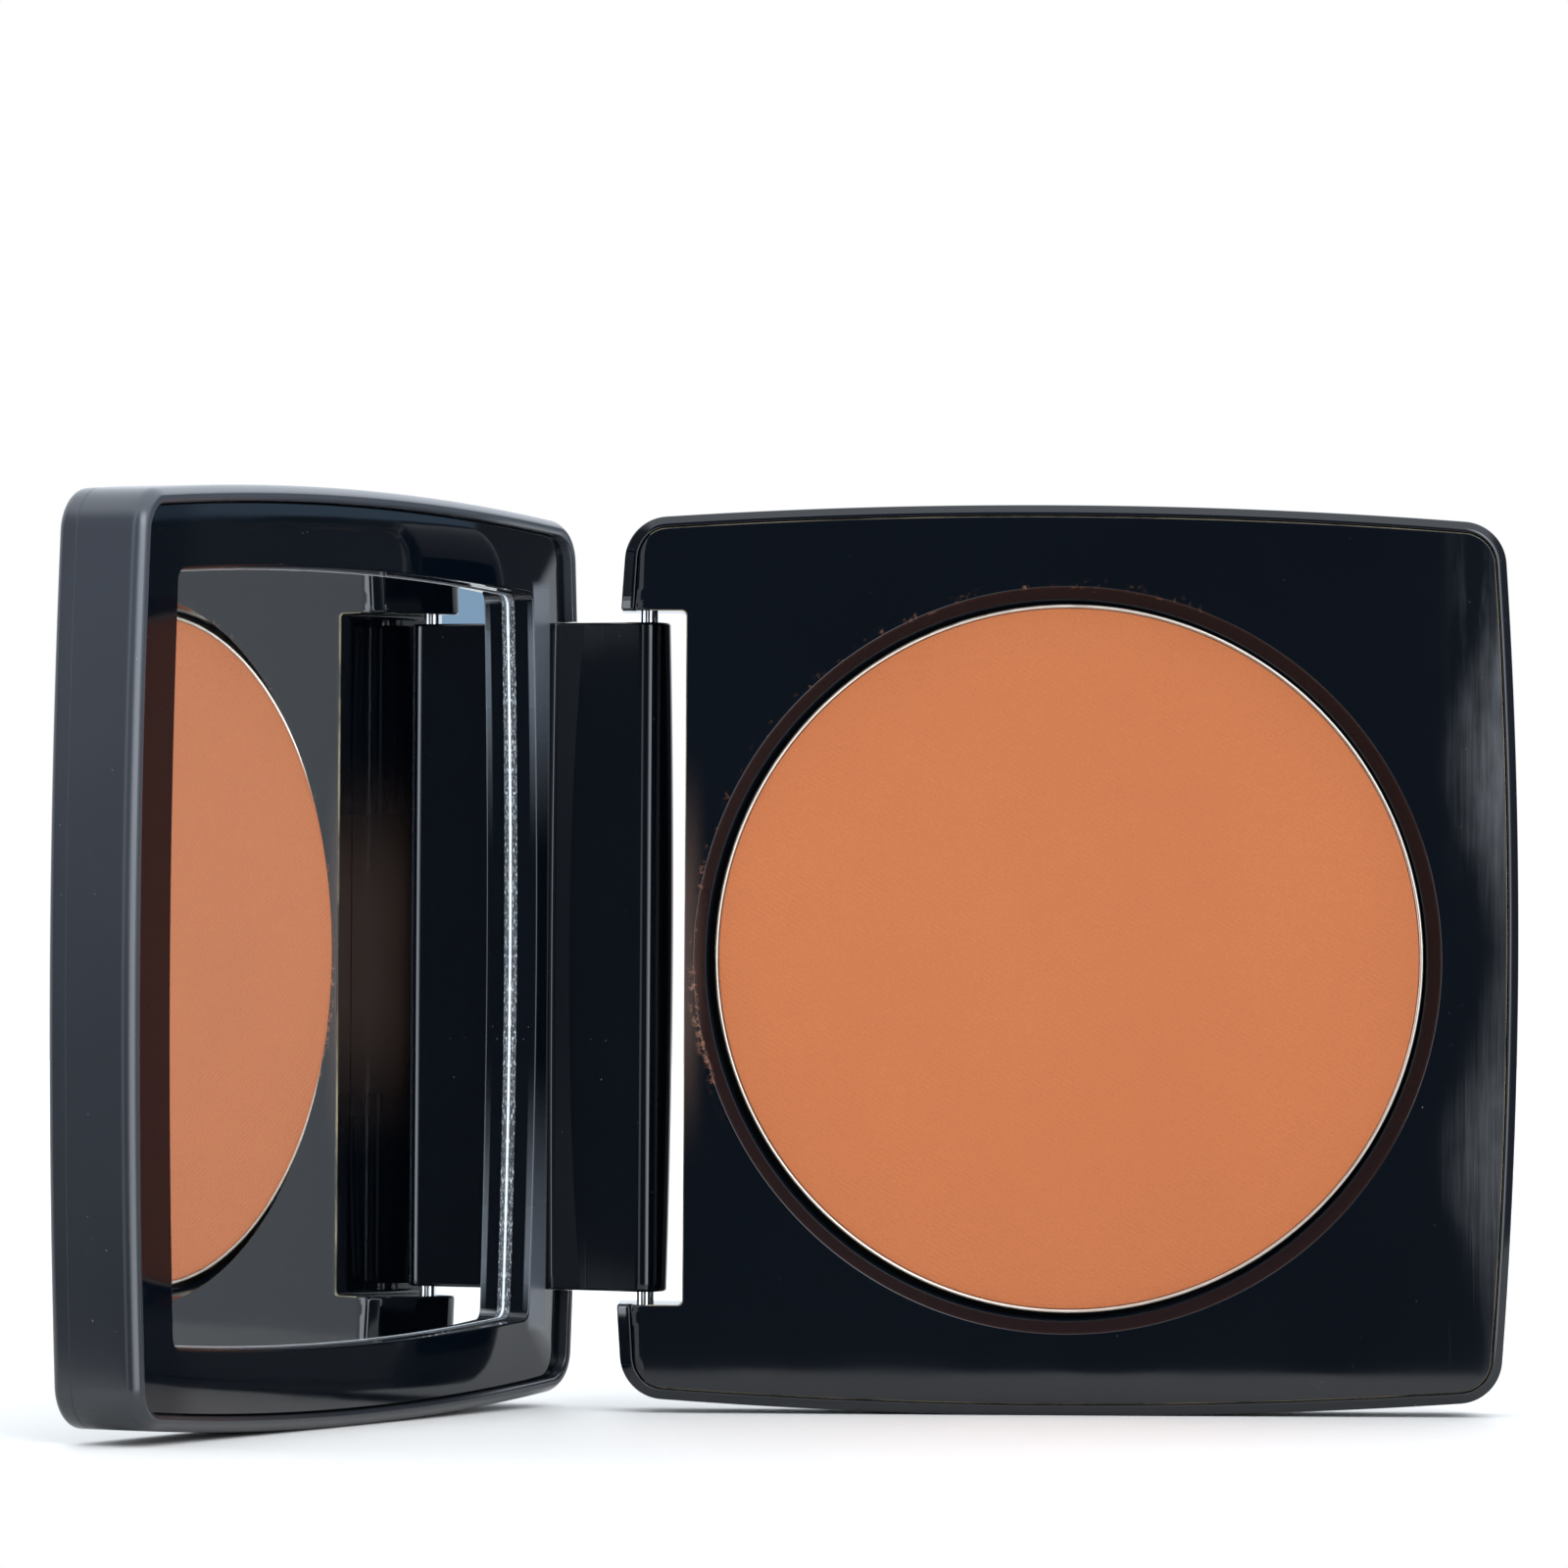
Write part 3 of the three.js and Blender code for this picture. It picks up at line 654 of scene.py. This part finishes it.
def pressed_powder(name):
    """Matte pressed powder with the weave of the pressing cloth and a slightly uneven tone."""
    finish = Finish(name, Roughness=0.95, Specular_IOR_Level=0.25, Sheen_Weight=0.15, Sheen_Roughness=0.6)
    tone = finish.mix(finish.noise(0.045, 3.0), rgb(0.440, 0.129, 0.042), rgb(0.495, 0.150, 0.050))
    grain = finish.span(finish.noise(5.0, 3.0, roughness=0.7), 0.25, 0.75)
    finish.set("Base Color", finish.mix(finish.product(grain, 0.35), tone, rgb(0.368, 0.103, 0.034)))
    threads = [finish.wave((cos(radians(angle)), 0, sin(radians(angle))), pitch) for angle, pitch in CLOTH]
    patchy = finish.product(*threads, finish.span(finish.noise(0.2, 2.0), 0.3, 0.7, 0.35, 1.0))
    cloth = finish.bump(finish.total(finish.product(patchy, 0.5), 0.5), 0.022)
    finish.set("Normal", finish.bump(grain, 0.03, cloth))
    return finish.material


def stamped_aluminium(name):
    """Thin stamped aluminium with a satin drawn surface."""
    finish = Finish(name, Metallic=1.0)
    cloud = finish.noise(0.6, 3.0)
    finish.set("Base Color", finish.mix(cloud, rgb(0.48, 0.40, 0.33), rgb(0.58, 0.51, 0.44)))
    finish.set("Roughness", finish.span(cloud, 0.3, 0.7, 0.28, 0.42))
    finish.set("Normal", finish.bump(finish.noise(4.0, 2.0), 0.004))
    return finish.material


def ground_steel(name):
    """A bright pin with fine grinding rings."""
    finish = Finish(name, Metallic=1.0)
    rings = finish.noise(1.0, 3.0, stretch=(0.3, 0.3, 14.0))
    finish.set("Base Color", finish.mix(rings, rgb(0.70, 0.71, 0.73), rgb(0.86, 0.86, 0.87)))
    finish.set("Roughness", finish.span(rings, 0.3, 0.7, 0.10, 0.18))
    finish.set("Normal", finish.bump(rings, 0.001))
    return finish.material


def plated_nickel(name):
    """Bright nickel plating, a little yellow, with handling marks."""
    finish = Finish(name, Metallic=1.0)
    cloud = finish.noise(0.9, 3.0)
    finish.set("Base Color", finish.mix(cloud, rgb(0.62, 0.58, 0.50), rgb(0.74, 0.71, 0.64)))
    finish.set("Roughness", finish.span(cloud, 0.3, 0.7, 0.18, 0.34))
    return finish.material


def foam_tape(name):
    """Off-white double-sided foam tape with open pores."""
    finish = Finish(name)
    pores = finish.noise(5.0, 2.0)
    finish.set("Base Color", finish.mix(pores, rgb(0.62, 0.60, 0.54), rgb(0.80, 0.78, 0.72)))
    finish.set("Roughness", finish.span(pores, 0.3, 0.7, 0.7, 0.9))
    finish.set("Normal", finish.bump(pores, 0.03))
    return finish.material


def label_film(name):
    """A blank satin film with a faint grain."""
    finish = Finish(name)
    grain = finish.noise(3.0, 3.0)
    finish.set("Base Color", finish.mix(grain, rgb(0.040, 0.042, 0.048), rgb(0.056, 0.058, 0.064)))
    finish.set("Roughness", finish.span(grain, 0.3, 0.7, 0.42, 0.54))
    finish.set("Normal", finish.bump(grain, 0.003))
    return finish.material


def silvered(name):
    """The mirror's silver, with a trace of unevenness."""
    finish = Finish(name, Metallic=1.0)
    cloud = finish.noise(0.05, 2.0)
    finish.set("Base Color", finish.mix(cloud, rgb(0.86, 0.89, 0.89), rgb(0.90, 0.92, 0.92)))
    finish.set("Roughness", finish.span(cloud, 0.3, 0.7, 0.0, 0.012))
    return finish.material


def ground_glass(name):
    """The mirror's ground edge, dark, with painted glints: bright along the silver, with a few sparkling facets
    beyond.
    """
    finish = Finish(name)
    facets = finish.noise(16.0, 4.0, stretch=(1.0, 1.0, 0.14), roughness=0.75)
    depth = finish.math("SUBTRACT", SILVER, finish.from_hinge("lid")[2])
    rim = finish.product(finish.span(depth, 0.08, 0.14, 1.0, 0.0), finish.span(facets, 0.30, 0.45))
    # painted highlights: the white in the colour stands for glints along the silver and on sparkling facets
    bright = finish.math("MAXIMUM", rim, finish.span(facets, 0.55, 0.63))
    finish.set("Base Color", finish.mix(bright, rgb(0.010, 0.014, 0.022), rgb(0.90, 0.95, 0.98)))
    finish.set("Roughness", finish.span(facets, 0.3, 0.7, 0.25, 0.5))
    finish.set("Normal", finish.bump(facets, 0.05))
    return finish.material


FINISHES = {
    "black_gloss": gloss_black("gloss_black"),
    "frame_gloss": gloss_black("gloss_black_frame", painted_land_sheen, sheen=frame_sheen),
    "tub_gloss": gloss_black("gloss_black_tub", notch_dust),
    "tray_gloss": gloss_black(
        "gloss_black_tray", notch_dust, well_dust, painted_edge_glint, finger_smear, sheen=well_sheen, sagging=True,
    ),
    "black_satin": satin_black("satin_black"),
    "pan_aluminium": stamped_aluminium("stamped_aluminium"),
    "powder": pressed_powder("pressed_powder"),
    "adhesive": foam_tape("foam_tape"),
    "label": label_film("label_film"),
    "magnet": plated_nickel("plated_nickel"),
    "pin_steel": ground_steel("ground_steel"),
    "mirror": silvered("silvered_glass"),
    "mirror_edge": ground_glass("ground_glass_edge"),
}

# ---- The base ----


def relieve_ears(surface):
    """Slopes the top of the ears down from the hinge axis, so that the lid's rim can swing past them."""
    everything = [*surface.mesh.verts, *surface.mesh.edges, *surface.mesh.faces]
    bmesh.ops.bisect_plane(surface.mesh, geom=everything, dist=1e-6, plane_co=(0, 0, 0), plane_no=(1, 0, 0))
    for vertex in surface.mesh.verts:
        if vertex.co.x < 0 and vertex.co.z > RELIEF_START:
            vertex.co.z += vertex.co.x * tan(radians(RELIEF_SLOPE))


def make_base_shell():
    """The tub of the base, and the rim band that shows round the tray from ear to ear."""
    tub = Surface()
    levels = [
        (inset, inset * NOTCH_ROUND / UNDER_ROUND, UNDERSIDE + depth)
        for inset, depth in quarter_turn(UNDER_ROUND)
    ]
    levels += [(0, 0, RELIEF_START), (0, 0, PLATE_SEAT), (BASE_WALL, NOTCH_WALL, PLATE_SEAT)]
    levels += [(BASE_WALL, NOTCH_WALL, UNDERSIDE + BASE_FLOOR)]
    rings = [tub.ring(outline(inset, cut=cut), height) for inset, cut, height in levels]
    underside, floor = tub.stack(rings)
    pocket_mouth = tub.ring(label(GROOVE), UNDERSIDE)
    _, pocket = tub.stack([pocket_mouth, tub.ring(label(GROOVE), LABEL_POCKET)])
    tub.fill(pocket)
    tub.fill(underside, pocket_mouth)
    tub.fill(floor)
    add_rim_band(tub)
    relieve_ears(tub)
    return tub.piece("base_tub", "base", [FINISHES["tub_gloss"]], "base_shell")


def add_rim_band(surface):
    """A bar along the base's outline, open at the hinge notch, with rounded ends."""
    wall_end = Vector((0, BASE_RIM - RIM_CHAMFER[1]))
    profile = softened_chamfer(wall_end, Vector((RIM_CHAMFER[0], BASE_RIM)), SOFTENING)
    profile += [(BASE_BAND - inset, BASE_RIM - depth) for inset, depth in quarter_turn(FINE_ROUND)]
    profile += [(BASE_BAND, PLATE_SEAT), (0, PLATE_SEAT)]
    middle_inset = BASE_BAND / 2
    middle_height = (BASE_RIM + PLATE_SEAT) / 2
    limit = NOTCH_HALF + BAND_END_ROUND
    ends = [(1 - sin(a), 1 - cos(a)) for a in (0, pi / 6, pi / 3)]
    rows = []
    for inset, height in profile:
        full = [(x, y, height) for x, y in band_path(inset, limit)]
        rounded = []
        for step, shrink in ends:
            share = 1 - step * BAND_END_ROUND / middle_inset
            end_inset = middle_inset + (inset - middle_inset) * share
            near = band_path(end_inset, NOTCH_HALF + BAND_END_ROUND * shrink)
            rounded.append((near[0], near[-1], middle_height + (height - middle_height) * share))
        start = [(*first, level) for first, _, level in rounded]
        end = [(*last, level) for _, last, level in reversed(rounded)]
        rows.append(start + full + end)
    stations = [surface.ring([row[i] for row in rows]) for i in range(len(rows[0]))]
    surface.closed(stations)


def band_path(inset, limit):
    """The outline from one ear to the other the long way round, between two places near the hinge notch."""
    radius, centre, corner, corner_centre, bend = bowed_side(inset)
    start = asin(limit / radius)
    whole = (-bend, bend, SIDE_STEPS)
    sides = [(start, bend, EAR_STEPS), whole, whole, whole, (-bend, -start, EAR_STEPS)]
    points = []
    for i, (low, high, count) in enumerate(sides):
        part = arc((centre, 0), radius, low, high, count)
        if i < len(sides) - 1:
            part += arc((corner_centre, corner_centre), corner, bend, pi / 2 - bend, CORNER_STEPS)[1:-1]
        points += turned_quarter(part, i + 2)
    wider = EAR_BAND - BASE_BAND
    reach = CORNER_RADIUS - HINGE_INSET
    share = inset / BASE_BAND
    return [(x + share * wider * min(1, max(0, (reach - x) / CORNER_RADIUS)), y) for x, y in points]


def make_base_tray():
    """The plate with the well for the pan, cut out at the hinge."""
    tray = Surface()
    edge = BASE_BAND + GROOVE
    ear = EAR_BAND - BASE_BAND
    levels = [(edge, 0, PLATE_UNDER)]
    levels += [
        (edge + inset, inset * NOTCH_ROUND / FINE_ROUND, BASE_RIM - depth * NOTCH_ROUND / FINE_ROUND)
        for inset, depth in reversed(quarter_turn(FINE_ROUND))
    ]
    rings = [tray.ring(outline(inset, ear, cut), height) for inset, cut, height in levels]
    under, top = tray.stack(rings)
    well = [(WELL_MOUTH + inset, BASE_RIM - depth) for inset, depth in quarter_turn(FINE_ROUND)]
    well += [(WELL_RADIUS, WELL_SLOPE_FOOT), (WELL_RADIUS, WELL_FLOOR)]
    mouth, bottom = tray.stack([tray.ring(circle(radius, WELL_X), height) for radius, height in well])
    tray.fill(top, mouth)
    tray.fill(bottom)
    cup = [(CUP_RADIUS, PLATE_UNDER), (CUP_RADIUS, CUP_FOOT + CUP_FOOT_EDGE)]
    cup += [(CUP_RADIUS - CUP_FOOT_EDGE, CUP_FOOT)]
    cup_top, cup_foot = tray.stack([tray.ring(circle(radius, WELL_X), height) for radius, height in cup])
    tray.fill(cup_foot)
    boss_tops = [add_boss(tray, side * BOSS_OFFSET) for side in (-1, 1)]
    tray.fill(under, cup_top, *boss_tops)
    relieve_ears(tray)
    return tray.piece("base_plate_and_well", "base", [FINISHES["tray_gloss"]], "base_tray")


def add_boss(tray, y):
    """A boss that holds a magnet under the plate. Gives the ring where it meets the plate."""
    levels = [(BOSS_RADIUS, PLATE_UNDER), (BOSS_RADIUS, BOSS_FOOT), (MAGNET_POCKET, BOSS_FOOT),
              (MAGNET_POCKET, POCKET_TOP)]
    rings = [tray.ring(circle(radius, BOSS_X, y, SMALL_STEPS), height) for radius, height in levels]
    top, pocket = tray.stack(rings)
    tray.fill(pocket)
    return top


def make_pan():
    """The stamped pan, with its rim rolled over."""
    pan = Surface()
    roll = PAN_WALL / 2
    rim = [(PAN_RADIUS - roll + roll * cos(a), PAN_RIM - roll + roll * sin(a))
           for a in [pi * i / ROLL_STEPS for i in range(ROLL_STEPS + 1)]]
    profile = [(PAN_RADIUS - PAN_FOOT_EDGE, PAN_FOOT), (PAN_RADIUS, PAN_FOOT + PAN_FOOT_EDGE)]
    profile += rim
    profile += [(PAN_RADIUS - PAN_WALL, PAN_FOOT + PAN_FOOT_EDGE)]
    profile += [(PAN_RADIUS - PAN_FOOT_EDGE, PAN_FOOT + PAN_WALL)]
    pan.closed([pan.ring(circle(radius, PAN_X, PAN_Y), height) for radius, height in profile])
    return pan.piece("pan", "base", [FINISHES["pan_aluminium"]], "powder_pan")


def make_powder():
    """The pressed powder: almost flat, with a soft worn edge."""
    powder = Surface()
    radius = PAN_RADIUS - PAN_WALL - POWDER_GAP
    foot = PAN_FOOT + PAN_WALL + GROOVE
    face = PAN_RIM - POWDER_DROP
    profile = [(radius - PAN_FOOT_EDGE, foot), (radius, foot + PAN_FOOT_EDGE)]
    profile += [(radius - inset, face - depth) for inset, depth in WORN_EDGE]
    for share in (0.985, 0.95, 0.88, 0.75, 0.5, 0.25, 0.05):
        profile.append((radius * share, face + POWDER_CROWN * (1 - share**4)))
    powder.closed([powder.ring(circle(r, PAN_X, PAN_Y), height) for r, height in profile])
    return powder.piece("powder_cake", "base", [FINISHES["powder"]], "pressed_powder")


def make_pin(name, side):
    """A steel pin with chamfered ends."""
    pin_piece = Surface()
    outer, inner = PIN_END, PIN_END - PIN_LENGTH
    stations = [(PIN_RADIUS - PIN_CHAMFER, outer), (PIN_RADIUS, outer - PIN_CHAMFER)]
    stations += [(PIN_RADIUS, inner + PIN_CHAMFER), (PIN_RADIUS - PIN_CHAMFER, inner)]
    rings = []
    for radius, y in stations:
        rings.append(pin_piece.ring([(x, side * y, z) for x, z in circle(radius, 0, 0, SMALL_STEPS)]))
    pin_piece.closed(rings)
    return pin_piece.piece(f"{name}_ground", "base", [FINISHES["pin_steel"]], name)


def make_label():
    """A blank film in the underside's pocket."""
    film = Surface()
    levels = [(-LABEL_BEVEL, LABEL_FACE), (0, LABEL_FACE + LABEL_BEVEL), (0, LABEL_BACK)]
    film.closed([film.ring(label(margin), height) for margin, height in levels])
    return film.piece("underside_film", "base", [FINISHES["label"]], "underside_label")


# ---- The lid ----


def make_lid_shell():
    """The lid's wall with its chamfered lip, open where the tongue comes out."""
    shell = Surface()
    marks = (TONGUE_GAP - GAP_CORNER, TONGUE_GAP + GAP_CORNER)
    levels = [(LID_WALL, LID_PANEL), (LID_WALL, LIP_TOP)]
    inner_round = reversed(quarter_turn(LIP_INNER_ROUND))
    levels += [(LID_WALL - inset, LID_RIM + depth) for inset, depth in inner_round]
    wall_end = Vector((0, LID_RIM + LIP_CHAMFER[1]))
    face_start = Vector((LIP_CHAMFER[0], LID_RIM))
    levels += reversed(softened_chamfer(wall_end, face_start, LIP_SOFTENING))
    levels += [(0, LIP_TOP)]
    levels += [(inset, LID_SEAM - depth) for inset, depth in reversed(quarter_turn(SEAM_ROUND))]
    rings = []
    for inset, height in levels:
        points = outline(inset, marks=marks)
        rings.append(shell.ring([(x, y, lip_height(x, y, height)) for x, y in points]))
    shell.closed(rings)
    return shell.piece("lid_wall", "lid", [FINISHES["black_satin"]], "lid_shell")


def lip_height(x, y, height):
    """Pushes the lip back behind the mirror frame along the tongue."""
    if x < NOTCH_EDGE and abs(y) < TONGUE_GAP and height < FRAME_BACK:
        return FRAME_BACK + LIP_SQUEEZE * (height - LID_RIM)
    return height


def make_lid_cover():
    """The crowned cover on the back of the lid."""
    cover = Surface()
    levels = [(inset, COVER_FOOT + depth, 1.0) for inset, depth in quarter_turn(SEAM_ROUND)]
    levels += [(inset, LID_EDGE - depth, 1.0) for inset, depth in reversed(quarter_turn(COVER_ROUND))]
    levels += [(COVER_ROUND, LID_EDGE + CROWN * (1 - share * share), share)
               for share in (0.95, 0.88, 0.78, 0.66, 0.52, 0.38, 0.24, 0.1)]
    rings = []
    for inset, height, share in levels:
        points = [(MIDDLE + (x - MIDDLE) * share, y * share) for x, y in outline(inset)]
        rings.append(cover.ring(points, height))
    cover.closed(rings)
    return cover.piece("lid_back_cover", "lid", [FINISHES["black_satin"]], "lid_cover")


def make_mirror_frame():
    """The frame round the mirror, with the tongue that carries the hinge."""
    plate = Surface()
    edge = LID_WALL + GROOVE
    outside = [(edge, FRAME_BACK)]
    outside += [(edge + inset, FRAME_FACE + depth) for inset, depth in reversed(quarter_turn(FINE_ROUND))]
    back, face = plate.stack([plate.ring(outline(inset), height) for inset, height in outside])
    rings = []
    for inset, depth in quarter_turn(NOTCH_ROUND):
        rings.append(plate.ring([(x, y, window_height(x) + depth) for x, y in window(-inset)]))
    inside = [(0, SKIRT_END), (-WINDOW_WALL, SKIRT_END), (-WINDOW_WALL, FRAME_BACK)]
    mouth, skirt = plate.stack(rings + [plate.ring(window(inset), height) for inset, height in inside])
    plate.bridge(face, mouth)
    plate.fill(back, skirt)
    plate.closed([plate.ring(section) for section in tongue_sections()])
    materials = [FINISHES["frame_gloss"]]
    return plate.piece("mirror_frame_and_tongue", "lid", materials, "mirror_frame")


def window_height(x):
    """Height of the frame's face along the window's edge. It rises towards the hinge side."""
    share = (WINDOW_FREE_SIDE - x) / (WINDOW_FREE_SIDE - WINDOW_HINGE_SIDE)
    return FRAME_FACE - FRAME_RISE * max(share, 0) ** FRAME_RISE_POWER


def frame_height(x):
    """Height of the frame's sloping face between the hinge side's edge and the window."""
    edge = LID_WALL + GROOVE - HINGE_INSET
    return FRAME_FACE - FRAME_RISE * (x - edge) / (WINDOW_HINGE_SIDE - edge)


def tongue_sections():
    """Rings of points round the tongue, from one end to the other, with rounded ends."""
    end = [(TONGUE_HALF - depth, inset) for inset, depth in quarter_turn(TONGUE_END_ROUND)]
    inner = TONGUE_HALF - TONGUE_END_ROUND
    body = [(inner * (1 - 2 * i / TONGUE_STEPS), 0.0) for i in range(1, TONGUE_STEPS)]
    other_end = [(-y, inset) for y, inset in reversed(end)]
    return [tongue_section(y, inset) for y, inset in end + body + other_end]


def tongue_section(y, inset):
    """The tongue's outline at a place along the hinge, made smaller by inset."""
    outer = hinge_side(y) + inset
    bow = (y / TONGUE_HALF) ** 2
    bottom = TONGUE_BOTTOM + inset
    inner = TONGUE_INNER_FACE - inset
    outer_round = TONGUE_OUTER_ROUND - inset
    inner_round = TONGUE_INNER_ROUND - inset
    foot = inner - TONGUE_LEAN * bow
    bend = Vector((foot, frame_height(foot)))
    start = bend.lerp(Vector((inner, 0)), TONGUE_ROOT_ROUND / bend.y)
    end = Vector((foot + TONGUE_ROOT_ROUND, frame_height(foot + TONGUE_ROOT_ROUND)))
    outer_centre = (outer + outer_round, bottom + outer_round)
    inner_centre = (inner - inner_round, bottom + inner_round)
    points = arc(outer_centre, outer_round, pi, 1.5 * pi, TONGUE_OUTER_STEPS)
    points += arc(inner_centre, inner_round, -0.5 * pi, 0, TONGUE_INNER_STEPS)
    points += curve(start, bend, end)
    points += [(end.x, TONGUE_TOP), (outer, TONGUE_TOP)]
    return [(x, y, z) for x, z in points]


def make_mirror():
    """The mirror: its silver, and the ground edge of the clear glass in front of it."""
    glass = Surface()
    levels = [(GLASS_LAND + GLASS_EDGE, SILVER), (GLASS_LAND, GLASS_FACE), (GLASS_GAP, GLASS_FACE)]
    levels += [(GLASS_GAP, SKIRT_END)]
    glass.closed([glass.ring(window(inset), height) for inset, height in levels])

    def side_of(face):
        return 0 if abs(face.normal.z) > 0.9 else 1

    materials = [FINISHES["mirror"], FINISHES["mirror_edge"]]
    return glass.piece("mirror_plate", "lid", materials, "mirror_glass", side_of)


make_base_shell()
make_base_tray()
make_pan()
make_powder()
make_label()
make_pin("hinge_pin_upper", 1)
make_pin("hinge_pin_lower", -1)
make_lid_shell()
make_lid_cover()
make_mirror_frame()
make_mirror()

for row in frame["record"]["subparts"]:
    carried = frame["nodes"][row["node"]]
    if not carried.hide_render:
        carried.data.materials.clear()
        carried.data.materials.append(FINISHES[row["material_slot"]])

# ---- Floor, light and camera ----

FLOOR_BACK = 1.6
FLOOR_FRONT = 0.05  # the floor stops short of the dark side of the studio, where the camera stands
FLOOR_HALF = 1.6

LIGHT_ROUND = [  # brightness by angle from the camera's side, to the right
    (-180, 1.0), (-95, 0.9), (-85, 0.12), (-39, 0.12), (-36.5, 1.1), (-22.5, 1.1), (-20, 0.08),
    (5.5, 0.08), (8, 0.9), (12, 2.4), (19, 5.2), (33, 4.8), (37, 1.0), (58, 0.95),
    (64, 0.3), (96, 0.08), (130, 0.08), (134, 1.0), (180, 1.0),
]
BRIGHTEST = 6.0
GLOW = (0.16, 0.28, 0.43)  # a low, bluish strip of light behind the object, on the right
GLOW_FROM, GLOW_TO = 98, 131
GLOW_HALF_HEIGHT = 0.06
UPPER_GAIN = 1.9  # how much brighter the light is high up than at eye level
UPPER_HEIGHT = 0.625  # sine of the elevation where it is at its brightest
TOP_LIGHT = 2.0
TOP_START = 0.55  # sine of the elevation where the top light starts
TOP_FADE = 0.25
PANEL_TINT = (0.90, 0.96, 1.04)

LENS = 211.73
SENSOR = 36.0
CAMERA_DISTANCE = 772.57
CAMERA_OFFSET = (-11.434, -14.482)
CAMERA_YAW = 0.427
CAMERA_PITCH = -0.691
CAMERA_ROLL = -0.359


def make_floor():
    corners = [(-FLOOR_HALF, -FLOOR_FRONT), (FLOOR_HALF, -FLOOR_FRONT), (FLOOR_HALF, FLOOR_BACK),
               (-FLOOR_HALF, FLOOR_BACK)]
    data = bpy.data.meshes.new("floor")
    data.from_pydata([(x, y, 0.0) for x, y in corners], [], [(0, 1, 2, 3)])
    floor = bpy.data.objects.new("floor", data)
    bpy.context.scene.collection.objects.link(floor)
    paper = Finish("white_paper")
    grain = paper.noise(1.5, 3.0)
    paper.set("Base Color", paper.mix(grain, rgb(0.82, 0.80, 0.76), rgb(0.84, 0.82, 0.78)))
    paper.set("Roughness", paper.span(grain, 0.3, 0.7, 0.5, 0.6))
    data.materials.append(paper.material)


def make_light():
    """A white room seen directly, and soft light panels round the object for everything else."""
    world = bpy.data.worlds.new("studio")
    bpy.context.scene.world = world
    world.use_nodes = True
    tree = world.node_tree
    tree.nodes.clear()

    def node(kind, **settings):
        made = tree.nodes.new(kind)
        for key, value in settings.items():
            setattr(made, key, value)
        return made

    def math(operation, first, second=0.0, clamp=False):
        made = node("ShaderNodeMath", operation=operation, use_clamp=clamp)
        for socket, value in zip(made.inputs, (first, second)):
            if isinstance(value, bpy.types.NodeSocket):
                tree.links.new(value, socket)
            else:
                socket.default_value = value
        return made.outputs[0]

    split = node("ShaderNodeSeparateXYZ")
    tree.links.new(node("ShaderNodeTexCoord").outputs["Generated"], split.inputs[0])
    x, y, z = split.outputs
    angle = math("ARCTAN2", x, math("MULTIPLY", y, -1.0))
    ramp = node("ShaderNodeValToRGB")
    tree.links.new(math("ADD", math("DIVIDE", angle, 2 * pi), 0.5), ramp.inputs[0])
    stops = ramp.color_ramp.elements
    while len(stops) < len(LIGHT_ROUND):
        stops.new(0.5)
    for stop, (degrees, level) in zip(stops, LIGHT_ROUND):
        stop.position = degrees / 360 + 0.5
        stop.color = rgb(*(3 * [level / BRIGHTEST]))
    around = math("MULTIPLY", ramp.outputs["Color"], BRIGHTEST)
    up = math("DIVIDE", z, UPPER_HEIGHT, clamp=True)
    around = math("MULTIPLY", around, math("ADD", math("MULTIPLY", up, UPPER_GAIN - 1), 1.0))
    overhead = math("DIVIDE", math("SUBTRACT", z, TOP_START), TOP_FADE, clamp=True)
    sides = math("MULTIPLY", around, math("SUBTRACT", 1.0, overhead))
    level = math("ADD", sides, math("MULTIPLY", overhead, TOP_LIGHT))
    seen = node("ShaderNodeLightPath").outputs["Is Camera Ray"]
    panels = node("ShaderNodeBackground")
    panels.inputs["Color"].default_value = rgb(*PANEL_TINT)
    tree.links.new(level, panels.inputs["Strength"])
    from_glow = math("ABSOLUTE", math("SUBTRACT", angle, radians(GLOW_FROM + GLOW_TO) / 2))
    in_sector = math("LESS_THAN", from_glow, radians(GLOW_TO - GLOW_FROM) / 2)
    near_horizon = math("LESS_THAN", math("ABSOLUTE", z), GLOW_HALF_HEIGHT)
    glow = node("ShaderNodeBackground")
    glow.inputs["Color"].default_value = rgb(*GLOW)
    tree.links.new(math("MULTIPLY", in_sector, near_horizon), glow.inputs["Strength"])
    lit = node("ShaderNodeAddShader")
    tree.links.new(panels.outputs[0], lit.inputs[0])
    tree.links.new(glow.outputs[0], lit.inputs[1])
    white = node("ShaderNodeBackground")
    white.inputs["Color"].default_value = rgb(1, 1, 1)
    either = node("ShaderNodeMixShader")
    tree.links.new(seen, either.inputs[0])
    tree.links.new(lit.outputs[0], either.inputs[1])
    tree.links.new(white.outputs[0], either.inputs[2])
    tree.links.new(either.outputs[0], node("ShaderNodeOutputWorld").inputs["Surface"])


def make_camera():
    data = bpy.data.cameras.new("camera")
    data.lens = LENS
    data.sensor_width = SENSOR
    data.clip_start = 0.01
    data.clip_end = 20.0
    camera = bpy.data.objects.new("camera", data)
    bpy.context.scene.collection.objects.link(camera)
    turn = Matrix.Rotation(radians(CAMERA_ROLL), 4, "Z") @ Matrix.Rotation(radians(CAMERA_PITCH), 4, "X")
    turn = turn @ Matrix.Rotation(radians(CAMERA_YAW), 4, "Y")
    seen_from_camera = Matrix.Translation((*CAMERA_OFFSET, -CAMERA_DISTANCE)) @ turn
    place = upright @ Matrix.Scale(0.001, 4) @ seen_from_camera.inverted()
    camera.matrix_world = place @ Matrix.Scale(1000, 4)
    bpy.context.scene.camera = camera


make_floor()
make_light()
make_camera()
bpy.context.scene.view_settings.view_transform = "Standard"
